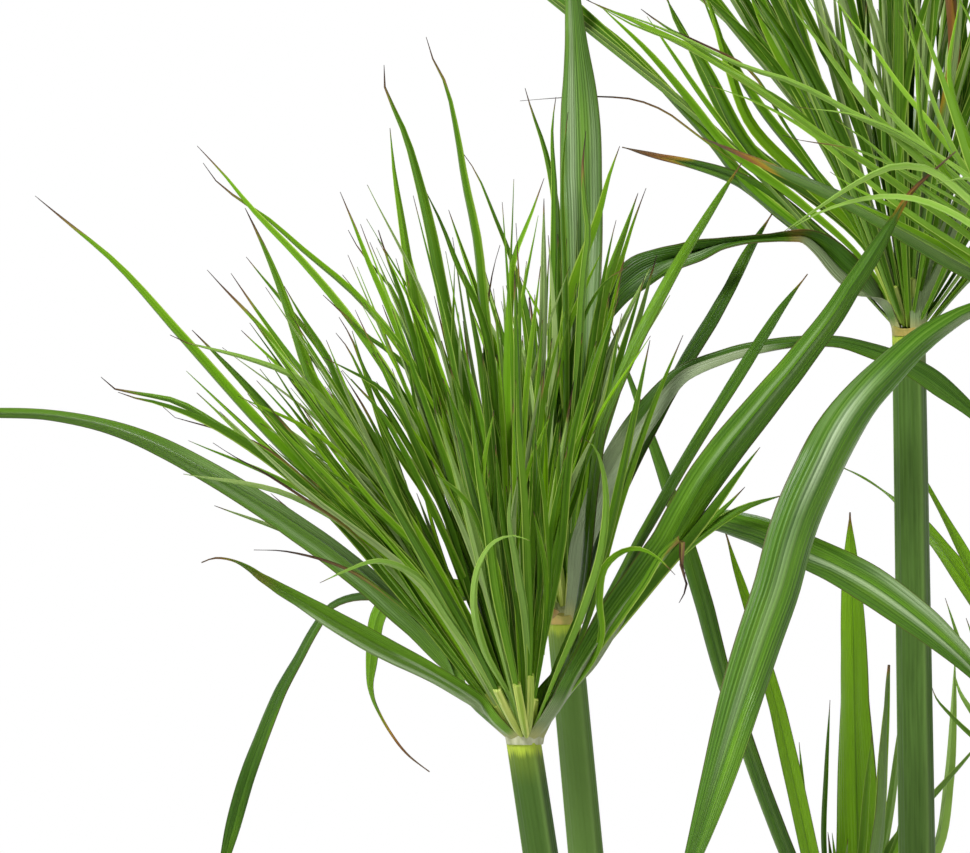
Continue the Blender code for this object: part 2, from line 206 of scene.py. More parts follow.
def sums(tree, operation, a, b=None, c=None, clamp=False):
    inputs = {0: a}
    if b is not None:
        inputs[1] = b
    if c is not None:
        inputs[2] = c
    return addNode(tree, "Math", inputs, operation=operation, use_clamp=clamp).outputs[0]


def blendColours(tree, factor, a, b, way="MIX"):
    return addNode(tree, "Mix", {0: factor, 6: a, 7: b}, data_type="RGBA", blend_type=way).outputs[2]


def colourSteps(tree, factor, steps):
    made = addNode(tree, "ValToRGB", {0: factor})
    ramp = made.color_ramp
    while len(ramp.elements) < len(steps):
        ramp.elements.new(0.5)
    for element, (position, colour) in zip(ramp.elements, steps):
        element.position = position
        element.color = colour
    return made.outputs[0]


def valueRange(tree, value, low, high, outLow=0.0, outHigh=1.0):
    return addNode(tree, "MapRange", {0: value, 1: low, 2: high, 3: outLow, 4: outHigh},
                   interpolation_type="SMOOTHSTEP").outputs[0]


def attribute(tree, name):
    return addNode(tree, "Attribute", attribute_name=name).outputs["Fac"]


def stretchedNoise(tree, u, v, extra, scaleU, scaleV, detail=3.0):
    place = addNode(tree, "CombineXYZ", {0: sums(tree, "MULTIPLY", u, scaleU),
                                         1: sums(tree, "MULTIPLY", v, scaleV), 2: extra}).outputs[0]
    return addNode(tree, "TexNoise", {"Vector": place, "Scale": 1.0, "Detail": detail}).outputs[0]


def ownMap(tree):
    parts = addNode(tree, "SeparateXYZ", {0: addNode(tree, "UVMap", uv_map="bladeMap").outputs[0]})
    return parts.outputs[0], parts.outputs[1]


# One finish for everything grown as a blade: u runs across it and v from its root to its tip
def bladeFinish(name, look):
    made, tree, shader = startFinish(name)
    u, v = ownMap(tree)
    tone, under, dry = attribute(tree, "tone"), attribute(tree, "under"), attribute(tree, "dry")
    pale = attribute(tree, "pale")
    shift = sums(tree, "MULTIPLY", tone, 37.0)
    streaks = stretchedNoise(tree, u, v, shift, look["streaksAcross"], look["streaksAlong"])
    grooves = stretchedNoise(tree, u, v, sums(tree, "ADD", shift, 5.0), look["groovesAcross"], 0.9, 2.0)
    patches = stretchedNoise(tree, u, v, shift, 1.5, 5.0, 2.0)
    veins = sums(tree, "MULTIPLY_ADD", sums(tree, "SINE", sums(tree, "MULTIPLY", u, look["veins"] * 2 * math.pi)),
                 0.25, sums(tree, "MULTIPLY", grooves, 1.0))
    green = blendColours(tree, valueRange(tree, streaks, 0.3, 0.7), paint(*look["dark"]), paint(*look["light"]))
    green = blendColours(tree, sums(tree, "MULTIPLY", veins, look["veinShow"]), green, paint(*look["vein"]))
    green = blendColours(tree, valueRange(tree, patches, 0.45, 0.75, 0.0, 0.35), green, paint(*look["fresh"]))
    green = blendColours(tree, valueRange(tree, grooves, 0.40, 0.30, 0.0, look["lineShow"]), green, paint(*look["deep"]))
    green = blendColours(tree, valueRange(tree, grooves, 0.57, 0.66, 0.0, look["lineShow"]), green, paint(*look["vein"]))
    green = blendColours(tree, valueRange(tree, tone, 0.45, 1.0, 0.0, look["toneShow"]), green, paint(*look["fresh"]))
    green = blendColours(tree, valueRange(tree, tone, 0.0, 0.45, look["shadeShow"], 0.0), green, paint(*look["deep"]))
    # painted shade: the half past the centre line is painted darker, standing in for the shaded side of the fold
    paintedHalfShadeMask = valueRange(tree, u, 0.47, 0.53, 0.0, look["paintedHalfShade"])
    green = blendColours(tree, paintedHalfShadeMask, green, paint(*look["deep"]))
    beside = sums(tree, "ABSOLUTE", sums(tree, "SUBTRACT", u, 0.5))
    # margins: dark on bracts; on rays the pale edge colour is a painted rim highlight
    edge = valueRange(tree, beside, look["edgeFrom"], look["edgeFrom"] + 0.04, 0.0, look["edgeShow"])
    green = blendColours(tree, edge, green, paint(*look["edge"]))
    back = blendColours(tree, sums(tree, "MULTIPLY", veins, 0.5), paint(*look["under"]), paint(*look["underVein"]))
    green = blendColours(tree, sums(tree, "MULTIPLY", under, look["underShow"]), green, back)
    rib = valueRange(tree, beside, 0.0, 0.04, look["ribShow"], 0.0)
    green = blendColours(tree, rib, green, paint(*look["rib"]))
    green = blendColours(tree, sums(tree, "MULTIPLY", pale, 0.8), green, paint(*look["paleGreen"]))
    # painted highlight: a pale sheen colour laid where the blade carries sheen, broken up by the grooves and streaks
    grain = sums(tree, "MULTIPLY", attribute(tree, "paintedSheen"), valueRange(tree, sums(tree, "ADD", grooves, streaks), 0.7, 1.05, 0.25, 1.0))
    green = blendColours(tree, grain, green, paint(*look["paintedSheen"]))
    root = valueRange(tree, sums(tree, "MULTIPLY_ADD", streaks, 0.03, v), look["rootEnd"] * 0.3, look["rootEnd"], 1.0, 0.0)
    green = blendColours(tree, root, green, paint(*look["root"]))
    # the dry end starts at 1 - dry, sooner along the edges, and wanders with the streaks
    wander = sums(tree, "MULTIPLY_ADD", sums(tree, "SUBTRACT", streaks, 0.5), 0.10, v)
    wander = sums(tree, "MULTIPLY_ADD", sums(tree, "MULTIPLY", beside, dry), 0.7, wander)
    past = sums(tree, "DIVIDE", sums(tree, "SUBTRACT", wander, sums(tree, "SUBTRACT", 1.0, dry)),
                sums(tree, "MAXIMUM", dry, 0.01), clamp=True)
    dryColour = colourSteps(tree, past, [(0.0, paint(*look["dryEdge"])), (0.25, paint(*look["dryYellow"])),
                                         (0.5, paint(*look["dryBrown"])), (0.9, paint(*look["dead"]))])
    colour = blendColours(tree, valueRange(tree, past, 0.0, 0.22), green, dryColour)
    scar = attribute(tree, "scar")
    colour = blendColours(tree, sums(tree, "MULTIPLY", scar, valueRange(tree, streaks, 0.25, 0.6, 0.5, 1.0)), colour,
                          paint(*look["dryBrown"]))
    tree.links.new(colour, shader.inputs["Base Color"])
    shader.inputs["Specular IOR Level"].default_value = look["specular"]
    gloss = sums(tree, "MULTIPLY_ADD", under, look["underRough"] - look["rough"], look["rough"])
    gloss = sums(tree, "MULTIPLY_ADD", past, 0.3, gloss)
    gloss = sums(tree, "MULTIPLY_ADD", streaks, 0.12, gloss)
    tree.links.new(gloss, shader.inputs["Roughness"])
    height = sums(tree, "MULTIPLY_ADD", veins, 0.7, sums(tree, "MULTIPLY", streaks, 0.8))
    bump = addNode(tree, "Bump", {"Height": height, "Strength": look["bump"], "Distance": 0.0003})
    tree.links.new(bump.outputs[0], shader.inputs["Normal"])
    return made


# bract colours; the pale sheen colour is a painted highlight and one half of each blade is painted darker as painted
# shade
bractLook = {"dark": (42, 82, 8), "light": (74, 122, 20), "fresh": (128, 180, 24), "vein": (124, 160, 66),
             "veins": 15, "veinShow": 0.25, "streaksAcross": 26.0, "streaksAlong": 5.0, "toneShow": 1.0,
             "groovesAcross": 32.0, "paintedHalfShade": 0.2, "deep": (30, 62, 4), "shadeShow": 0.5,
             "lineShow": 0.25, "paintedSheen": (188, 206, 168),
             "rib": (40, 78, 20), "ribShow": 0.5, "edge": (74, 50, 28), "edgeShow": 0.8, "edgeFrom": 0.462,
             "under": (100, 130, 68), "underVein": (134, 156, 104), "underShow": 0.8, "paleGreen": (146, 158, 122),
             "root": (164, 166, 108), "rootEnd": 0.05, "dryEdge": (130, 140, 30), "dryYellow": (168, 138, 40),
             "dryBrown": (146, 98, 48), "dead": (116, 96, 74), "rough": 0.26, "underRough": 0.45, "bump": 0.8, "specular": 0.18}
# ray colours; the pale sheen and pale edge colours are painted highlights and one half of each ray is painted darker as
# painted shade
rayLook = dict(bractLook, dark=(40, 84, 0), light=(78, 134, 4), fresh=(132, 184, 14), vein=(138, 178, 54),
               veins=3, veinShow=0.25, streaksAcross=5.0, streaksAlong=4.0, toneShow=0.9, shadeShow=0.6, ribShow=0.0, groovesAcross=7.0, paintedHalfShade=0.45,
               lineShow=0.5, paintedSheen=(196, 212, 150),
               edge=(172, 198, 88), edgeShow=0.65, edgeFrom=0.41, under=(86, 130, 26), underVein=(110, 152, 50), underShow=0.6,
               paleGreen=(144, 188, 74), root=(150, 176, 70), rootEnd=0.05, dryEdge=(120, 140, 40),
               dryYellow=(128, 116, 56), dryBrown=(104, 78, 52), dead=(60, 50, 46), rough=0.34, underRough=0.4,
               bump=0.35, specular=0.08)
bractFinish = bladeFinish("bractGreen", bractLook)
rayFinish = bladeFinish("rayGreen", rayLook)


def stemFinish(name, look):
    made, tree, shader = startFinish(name)
    u, v = ownMap(tree)
    fromTop, corner = attribute(tree, "fromTop"), attribute(tree, "corner")
    streaks = stretchedNoise(tree, u, v, 0.0, 46.0, 6.0)
    cloud = stretchedNoise(tree, u, v, 4.0, 6.0, 14.0)
    lines = sums(tree, "MULTIPLY_ADD", sums(tree, "SINE", sums(tree, "MULTIPLY", u, look["lines"] * 2 * math.pi)), 0.5, 0.5)
    green = blendColours(tree, valueRange(tree, streaks, 0.3, 0.7), paint(*look["dark"]), paint(*look["light"]))
    green = blendColours(tree, sums(tree, "MULTIPLY", lines, 0.16), green, paint(*look["line"]))
    green = blendColours(tree, valueRange(tree, cloud, 0.5, 0.8, 0.0, 0.4), green, paint(*look["light"]))
    # painted light and shade: the stem's tone paints it lighter or darker for how it is lit
    tone = attribute(tree, "tone")
    green = blendColours(tree, valueRange(tree, tone, 0.5, 1.0, 0.0, 0.8), green, paint(*look["line"]))
    green = blendColours(tree, valueRange(tree, tone, 0.0, 0.5, 0.8, 0.0), green, paint(*look["dark"]))
    green = blendColours(tree, sums(tree, "MULTIPLY", corner, 0.3), green, paint(*look["ridge"]))
    wander = sums(tree, "MULTIPLY_ADD", sums(tree, "SUBTRACT", streaks, 0.5), 0.006, fromTop)
    green = blendColours(tree, valueRange(tree, wander, 0.0014, 0.0040, 0.9, 0.0), green, paint(*look["ring"]))
    green = blendColours(tree, valueRange(tree, wander, 0.002, 0.012, 0.2, 0.0), green, paint(*look["ring"]))
    green = blendColours(tree, valueRange(tree, fromTop, 0.34, 0.56, 0.0, 0.5), green, paint(*look["foot"]))
    tree.links.new(green, shader.inputs["Base Color"])
    shader.inputs["Specular IOR Level"].default_value = look["specular"]
    tree.links.new(sums(tree, "MULTIPLY_ADD", streaks, 0.2, look["rough"]), shader.inputs["Roughness"])
    bump = addNode(tree, "Bump", {"Height": sums(tree, "MULTIPLY_ADD", lines, 0.5, streaks), "Strength": 0.35,
                                  "Distance": 0.0003})
    tree.links.new(bump.outputs[0], shader.inputs["Normal"])
    return made


stemLook = {"dark": (56, 84, 26), "light": (70, 101, 37), "line": (92, 124, 54), "ridge": (132, 164, 88),
            "ring": (160, 180, 56), "foot": (96, 112, 40), "lines": 22, "rough": 0.34, "specular": 0.15}
stemGreen = stemFinish("stemGreen", stemLook)


def dryFinish(name, dark, light, rough, across, along, bumpStrength):
    made, tree, shader = startFinish(name)
    u, v = ownMap(tree)
    tone = attribute(tree, "tone")
    streaks = stretchedNoise(tree, u, v, sums(tree, "MULTIPLY", tone, 9.0), across, along)
    colour = blendColours(tree, valueRange(tree, streaks, 0.3, 0.72), paint(*dark), paint(*light))
    tree.links.new(colour, shader.inputs["Base Color"])
    shader.inputs["Roughness"].default_value = rough
    bump = addNode(tree, "Bump", {"Height": streaks, "Strength": bumpStrength, "Distance": 0.0005})
    tree.links.new(bump.outputs[0], shader.inputs["Normal"])
    return made


sheathBrown = dryFinish("sheathBrown", (70, 38, 22), (158, 112, 66), 0.6, 30.0, 3.0, 0.6)
prophyllCream = dryFinish("prophyllCream", (140, 168, 44), (204, 212, 112), 0.45, 8.0, 2.0, 0.3)
collarPale = dryFinish("collarPale", (140, 146, 104), (186, 188, 156), 0.5, 14.0, 0.6, 0.1)
collarWarm = dryFinish("collarWarm", (142, 138, 56), (188, 160, 84), 0.5, 10.0, 0.6, 0.1)


def earthFinish(name, colours, scale, rough, bumpStrength, bumpDistance):
    made, tree, shader = startFinish(name)
    place = addNode(tree, "TexCoord").outputs["Object"]
    coarse = addNode(tree, "TexNoise", {"Vector": place, "Scale": scale, "Detail": 6.0, "Roughness": 0.65}).outputs[0]
    fine = addNode(tree, "TexNoise", {"Vector": place, "Scale": scale * 7, "Detail": 3.0}).outputs[0]
    both = sums(tree, "MULTIPLY_ADD", fine, 0.35, sums(tree, "MULTIPLY", coarse, 0.75))
    steps = [(0.25 + 0.5 * i / (len(colours) - 1), paint(*colour)) for i, colour in enumerate(colours)]
    tree.links.new(colourSteps(tree, both, steps), shader.inputs["Base Color"])
    shader.inputs["Roughness"].default_value = rough
    bump = addNode(tree, "Bump", {"Height": both, "Strength": bumpStrength, "Distance": bumpDistance})
    tree.links.new(bump.outputs[0], shader.inputs["Normal"])
    return made


soilDark = earthFinish("soilDark", [(22, 15, 11), (48, 34, 25), (74, 54, 40)], 150.0, 0.95, 0.8, 0.002)
barkBrown = earthFinish("barkBrown", [(44, 27, 17), (98, 64, 40), (142, 104, 72)], 260.0, 0.85, 0.6, 0.0008)
perliteWhite = earthFinish("perliteWhite", [(186, 182, 172), (222, 219, 210), (240, 238, 232)], 400.0, 0.9, 0.5, 0.0005)


def clayFinish(name, look):
    made, tree, shader = startFinish(name)
    place = addNode(tree, "TexCoord").outputs["Object"]
    parts = addNode(tree, "SeparateXYZ", {0: place})
    cloud = addNode(tree, "TexNoise", {"Vector": place, "Scale": 22.0, "Detail": 5.0, "Roughness": 0.6}).outputs[0]
    grit = addNode(tree, "TexNoise", {"Vector": place, "Scale": 900.0, "Detail": 3.0}).outputs[0]
    flat = addNode(tree, "CombineXYZ", {0: sums(tree, "MULTIPLY", parts.outputs[0], 0.25),
                                        1: sums(tree, "MULTIPLY", parts.outputs[1], 0.25), 2: parts.outputs[2]}).outputs[0]
    turning = addNode(tree, "TexNoise", {"Vector": flat, "Scale": 190.0, "Detail": 4.0}).outputs[0]
    clay = colourSteps(tree, cloud, [(0.3, paint(*look["dark"])), (0.55, paint(*look["mid"])), (0.75, paint(*look["light"]))])
    clay = blendColours(tree, valueRange(tree, turning, 0.45, 0.7, 0.0, 0.35), clay, paint(*look["light"]))
    clay = blendColours(tree, valueRange(tree, grit, 0.62, 0.72, 0.0, 0.5), clay, paint(*look["speck"]))
    chalk = addNode(tree, "TexNoise", {"Vector": place, "Scale": 46.0, "Detail": 7.0, "Roughness": 0.7}).outputs[0]
    nearFoot = valueRange(tree, parts.outputs[2], 0.0, 0.06, 0.11, 0.0)
    nearRim = valueRange(tree, parts.outputs[2], 0.145, 0.165, 0.0, 0.06)
    bloom = valueRange(tree, sums(tree, "ADD", sums(tree, "ADD", chalk, nearFoot), nearRim), 0.60, 0.78, 0.0, 0.55)
    clay = blendColours(tree, bloom, clay, paint(*look["chalk"]))
    tree.links.new(clay, shader.inputs["Base Color"])
    tree.links.new(valueRange(tree, cloud, 0.3, 0.7, look["rough"] - 0.08, look["rough"] + 0.06), shader.inputs["Roughness"])
    height = sums(tree, "MULTIPLY_ADD", turning, 0.8, sums(tree, "MULTIPLY", grit, 0.35))
    bump = addNode(tree, "Bump", {"Height": height, "Strength": 0.45, "Distance": 0.0006})
    tree.links.new(bump.outputs[0], shader.inputs["Normal"])
    return made


clayLook = {"dark": (150, 82, 56), "mid": (176, 102, 70), "light": (196, 126, 92), "speck": (122, 66, 48),
            "chalk": (222, 200, 184), "rough": 0.82}
clayRed = clayFinish("clayRed", clayLook)


def floorFinish(name, look):  # pale everywhere, and glowing (painted light) far from the plant, as light as the horizon
    made, tree, shader = startFinish(name)
    place = addNode(tree, "TexCoord").outputs["Object"]
    away = addNode(tree, "VectorMath", {0: place}, operation="LENGTH").outputs["Value"]
    shader.inputs["Base Color"].default_value = paint(*look["pale"])
    shader.inputs["Roughness"].default_value = look["rough"]
    shader.inputs["Emission Color"].default_value = (1, 1, 1, 1)
    tree.links.new(valueRange(tree, away, look["glowFrom"], look["glowTo"], 0.0, look["glow"]), shader.inputs["Emission Strength"])
    return made


floorLook = {"pale": (240, 240, 239), "rough": 0.7, "glowFrom": 0.5, "glowTo": 3.4, "glow": 0.62}
floorPale = floorFinish("floorPale", floorLook)
print("finishes")


# floor
deselectAll()
bpy.ops.mesh.primitive_circle_add(vertices=96, radius=studio["floorRadius"], fill_type="NGON", location=(0, 0, -0.0004))
floorPiece = bpy.context.object
floorPiece.name = "studioFloor"
floorPiece.data.materials.append(floorPale)
floorPiece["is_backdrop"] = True


# the plant's plan: one entry for each stem and what it carries
def frontView(leans, reach):  # directions at equal steps: lean from upright to the right, reach to the back
    side, back = np.radians(leans), np.radians(np.linspace(reach[0], reach[1], len(leans)))
    return np.stack([np.sin(side) * np.cos(back), np.sin(back), np.cos(side) * np.cos(back)], axis=1)


def planView(azimuth, tilts):  # directions at equal steps: one heading, tilts from upright
    tilt, turn = np.radians(tilts), math.radians(azimuth)
    return np.stack([math.cos(turn) * np.sin(tilt), math.sin(turn) * np.sin(tilt), np.cos(tilt)], axis=1)


heads = {
    "a": {"foot": (-0.020, -0.014), "top": (-0.0852, -0.035, 0.6225), "bracts": {
        "left_arch": (165, 0.191, 0.0105, frontView((-49, -46, -41, -54, -63, -82, -94, -116), (-8, -12))),
        "short_left": (225, 0.093, 0.0072, frontView((-51, -53, -61, -56, -54, -100), (-25, -15))),
        "big_right": (300, 0.176, 0.0125, frontView((42, 25, 29, 37, 39, 43, 29, 43), (-22, -4))),
        "right_arch": (345, 0.165, 0.0105, frontView((25, 33, 34, 53, 112, 119, 130, 136, 148), (-8, 10))),
        "mid_right": (30, 0.137, 0.0066, frontView((29, 32, 29, 32, 30), (14, 16))),
        "narrow_right": (88, 0.158, 0.0066, frontView((26, 18, 18, 23, 26), (22, 6)))}},
    "b": {"foot": (-0.031, 0.020), "top": (-0.0747, 0.030, 0.6504), "bracts": {
        "upright": (100, 0.183, 0.0125, frontView((7, 2, 2, -3, -4), (16, 2))),
        "left_droop": (175, 0.143, 0.0068,
                       frontView((-31, -96, -89, -94, -143, -154, -158, -163, -166, -168), (10, 5))),
        "small_droop": (232, 0.093, 0.0050, frontView((-59, -75, -81, -107, -171, -191, -208, -231), (-10, -4))),
        "right_arch": (300, 0.164, 0.0100, frontView((8, 17, 26, 53, 83, 101, 132, 133), (-14, -4))),
        "back_right": (28, 0.119, 0.0078, frontView((14, 28, 26, 31), (20, 10)))}},
    "c": {"foot": (0.021, 0.024), "top": (0.0139, 0.050, 0.7237), "bracts": {
        "kinked": (200, 0.105, 0.0100, frontView((-18, -55, -43, -90, -105, -113, -131, -147, -161), (2, 8))),
        "upright": (302, 0.106, 0.0105, frontView((3, 22, 19, 15, 11), (-18, -8))),
        "right_arch": (12, 0.130, 0.0095, frontView((38, 50, 72, 104, 134, 152), (-2, -10))),
        "back_arch": (84, 0.150, 0.0100, planView(84, (34, 38, 52, 74, 100, 122))),
        "brown_tip": (148, 0.089, 0.0070, frontView((-13, -48, -55, -71, -83), (12, 4)))}},
    "d": {"foot": (0.036, -0.020), "top": (0.0784, -0.060, 0.6967), "bracts": {
        "long_arch": (250, 0.240, 0.0150,
                      frontView((-29, -49, -83, -119, -145, -159, -160, -160, -159, -163), (-14, -6))),
        "front_arch": (318, 0.165, 0.0110, planView(318, (40, 44, 56, 78, 104, 124))),
        "right_arch": (18, 0.150, 0.0100, planView(18, (42, 44, 52, 68, 88, 108))),
        "upright": (110, 0.130, 0.0095, planView(110, (26, 20, 18, 22, 30)))}},
    "e": {"foot": (0.045, 0.012), "top": (0.0960, 0.0900, 0.7850), "bracts": {
        "front_arch": (338, 0.150, 0.0110, planView(338, (42, 44, 56, 76, 98, 116))),
        "right_arch": (40, 0.185, 0.0115, planView(40, (48, 50, 62, 82, 104, 126))),
        "back_blade": (115, 0.160, 0.0100, planView(115, (50, 50, 50, 54, 62))),
        "left_blade": (205, 0.110, 0.0090, planView(205, (34, 28, 24, 24, 30)))}},
    "f": {"foot": (0.022, 0.052), "top": (0.0664, 0.100, 0.5967), "bracts": {
        "left_blade": (190, 0.107, 0.0070, frontView((-16, -28, -27, -28), (-4, -6))),
        "right_arch": (5, 0.160, 0.0105, planView(4, (42, 46, 60, 84, 110, 132))),
        "back_arch": (70, 0.175, 0.0110, planView(68, (42, 46, 62, 86, 110, 130))),
        "rear_blade": (130, 0.140, 0.0095, planView(130, (38, 36, 42, 56, 76)))}},
    "g": {"foot": (-0.006, 0.043), "top": (-0.0022, 0.080, 0.5522), "bracts": {
        "long_left": (180, 0.183, 0.0064, frontView((-6, -21, -20, -16, -19, -20), (4, 6))),
        "left": (245, 0.123, 0.0062, frontView((-9, -14, -14, -20), (-10, -5))),
        "upright": (80, 0.125, 0.0115, frontView((9, 1, -1, -1), (12, 3))),
        "right": (345, 0.087, 0.0078, frontView((3, 10, 1, 3), (-12, -8)))}},
    "h": {"foot": (-0.001, -0.040), "top": (-0.018, -0.076, 0.4080), "bracts": {
        "tall": (75, 0.150, 0.0110, planView(75, (6, 5, 4, 4))),
        "left": (195, 0.128, 0.0095, planView(195, (13, 9, 9, 12))),
        "right": (315, 0.106, 0.0090, planView(315, (15, 12, 12, 16)))}},
}
potSize = {"height": 0.190, "baseRadius": 0.077, "mouthRadius": 0.099, "wall": 0.0075, "floor": 0.010,
           "rimHeight": 0.030, "rimOverhang": 0.0055, "soilLevel": 0.168, "soilMound": 0.006, "planted": 0.030}


def potInside(height):
    return mix(potSize["baseRadius"], potSize["mouthRadius"], height / potSize["height"]) - potSize["wall"]


def soilHeight(x, y):
    away = np.minimum(1.0, np.hypot(x, y) / potInside(potSize["soilLevel"]))
    return potSize["soilLevel"] + potSize["soilMound"] * (1 - away * away)


def directionAt(directions, t):  # smooth curve through the directions
    last = len(directions) - 1
    place = np.clip(t, 0, 1) * last
    i = np.minimum(place.astype(int), last - 1)
    u = (place - i)[:, None]
    before, a = directions[np.maximum(i - 1, 0)], directions[i]
    b, after = directions[i + 1], directions[np.minimum(i + 2, last)]
    return unit(a * 2 + (b - before) * u + (before * 2 - a * 5 + b * 4 - after) * u ** 2
                + (a * 3 - before - b * 3 + after) * u ** 3)


def smoothLine(points, at):  # smooth curve through points, by share of its length
    gaps = np.linalg.norm(np.diff(points, axis=0), axis=1)
    knots = np.concatenate([[0], np.cumsum(gaps)]) / gaps.sum()
    slopes = np.gradient(points, knots, axis=0)
    i = np.clip(np.searchsorted(knots, at, side="right") - 1, 0, len(knots) - 2)
    step = (knots[i + 1] - knots[i])[:, None]
    u = (at - knots[i])[:, None] / step
    return ((2 * u ** 3 - 3 * u ** 2 + 1) * points[i] + (u ** 3 - 2 * u ** 2 + u) * slopes[i] * step
            + (3 * u ** 2 - 2 * u ** 3) * points[i + 1] + (u ** 3 - u ** 2) * slopes[i + 1] * step)


# templates, modelled once: x runs across, y from root to tip, z is up out of the blade
def makeStrip(name, across, along):  # a thin closed strip from -1 to 1 across and 0 to 1 along
    deselectAll()
    bpy.ops.mesh.primitive_grid_add(x_subdivisions=across, y_subdivisions=along, size=2)
    strip = bpy.context.object
    strip.name = name
    bpy.ops.object.mode_set(mode="EDIT")
    bpy.ops.mesh.select_all(action="SELECT")
    bpy.ops.transform.resize(value=(1, 0.5, 1))
    bpy.ops.transform.translate(value=(0, 0.5, 0))
    bpy.ops.object.mode_set(mode="OBJECT")
    wall = strip.modifiers.new("wall", "SOLIDIFY")
    wall.thickness = 2
    wall.offset = 0
    applyModifiers(strip)
    return strip


def makeReed(name, sides, along):  # a closed rod of radius 1 that runs from 0 to 1 along y
    deselectAll()
    bpy.ops.mesh.primitive_cylinder_add(vertices=sides, radius=1, depth=1, end_fill_type="TRIFAN")
    reed = bpy.context.object
    reed.name = name
    pickParts(reed, "EDGE", lambda edge: abs(reed.data.vertices[edge.vertices[0]].co.z
                                             - reed.data.vertices[edge.vertices[1]].co.z) > 0.5)
    bpy.ops.mesh.subdivide(number_cuts=along - 1)
    bpy.ops.mesh.select_all(action="SELECT")
    bpy.ops.transform.translate(value=(0, 0, 0.5))
    bpy.ops.object.mode_set(mode="OBJECT")
    reed.rotation_euler = (-math.pi / 2, 0, 0)
    applyPlace(reed)
    return reed


def readTemplate(piece):
    mesh = piece.data
    points = np.empty(len(mesh.vertices) * 3)
    mesh.vertices.foreach_get("co", points)
    faces = [tuple(face.vertices) for face in mesh.polygons]
    bpy.data.objects.remove(piece)
    return {"points": points.reshape(-1, 3), "faces": faces}


bractTemplate = readTemplate(makeStrip("bractTemplate", 14, 76))
rayTemplate = readTemplate(makeReed("rayTemplate", 4, 13))
seenTemplate = readTemplate(makeReed("seenTemplate", 4, 30))
stalkTemplate = readTemplate(makeReed("stalkTemplate", 5, 7))
print("templates", len(bractTemplate["faces"]), len(rayTemplate["faces"]), len(stalkTemplate["faces"]))


# A finished mesh from parts that each have places, faces, map values and attributes
def buildMesh(name, parts, finishes, attributeNames):
    mesh = bpy.data.meshes.new(name)
    faces, start = [], 0
    for part in parts:
        faces += [tuple(i + start for i in face) for face in part["faces"]]
        start += len(part["points"])
    points = np.concatenate([part["points"] for part in parts])
    mesh.from_pydata(points.tolist(), [], faces)
    ownPlaces = np.concatenate([part["map"] for part in parts])
    loopVerts = np.empty(len(mesh.loops), dtype=np.int64)
    mesh.loops.foreach_get("vertex_index", loopVerts)
    layer = mesh.uv_layers.new(name="bladeMap")
    layer.uv.foreach_set("vector", ownPlaces[loopVerts].ravel().astype(np.float32))
    for key in attributeNames:
        values = np.concatenate([np.broadcast_to(part[key], len(part["points"])) for part in parts])
        mesh.attributes.new(key, "FLOAT", "POINT").data.foreach_set("value", values.astype(np.float32))
    for finish in finishes:
        mesh.materials.append(finish)
    if len(finishes) > 1:
        indexes = np.concatenate([np.full(len(part["faces"]), part["finish"]) for part in parts])
        mesh.polygons.foreach_set("material_index", indexes.astype(np.int32))
    mesh.update()
    made = bpy.data.objects.new(name, mesh)
    scene.collection.objects.link(made)
    return made


# bracts: each is the template strip laid along its own path
bractShape = {"rootRadius": 0.0045, "rootHeight": 0.0008, "rootWidth": 0.0050, "spreadAt": 0.24, "taperFrom": 0.45,
              "fold": 0.25, "keel": 0.0006, "margin": 0.0002, "bulge": 0.06, "wave": 0.0003, "tipWidth": 0.0003, "arch": 0.16}
bractDry = {"a_left_arch": 0.06, "a_short_left": 0.07, "a_big_right": 0.08, "a_right_arch": 0.05,
            "a_narrow_right": 0.03, "b_small_droop": 0.16, "b_left_droop": 0.05, "c_brown_tip": 0.17,
            "c_kinked": 0.05, "d_long_arch": 0.03, "h_tall": 0.03}


bractUnder = {"a_left_arch": 0.15, "a_short_left": 0.1, "a_big_right": 0.0, "a_right_arch": 0.1, "d_long_arch": 0.0,
              "a_mid_right": 0.0, "a_narrow_right": 0.0, "b_left_droop": 0.3, "b_small_droop": 0.0, "b_back_right": 0.4,
              "c_kinked": 0.4, "g_upright": 0.0, "g_left": 0.0, "g_long_left": 0.3, "c_brown_tip": 0.2, "b_right_arch": 0.1,
              "b_upright": 0.3}
# sides that show the pale underside: which side, from where to where along the blade, how much; on b_right_arch the
# amounts are raised to lighten a side turned away from the key light, which is painted light
paleSides = {"a_big_right": (("right", -0.1, 0.36, 1.0), ("left", -0.1, 0.10, 0.8)),
             "a_short_left": (("left", 0.0, 0.22, 0.6),),
             "b_right_arch": (("left", -0.1, 0.34, 0.9), ("right", -0.1, 0.60, 1.0)),
             "c_kinked": (("left", 0.03, 0.36, 0.9), ("right", 0.03, 0.15, 0.4)),
             "c_upright": (("left", -0.1, 1.1, 0.6), ("right", -0.1, 1.1, 0.6)),
             "d_long_arch": (("left", 0.25, 0.36, 0.7),)}
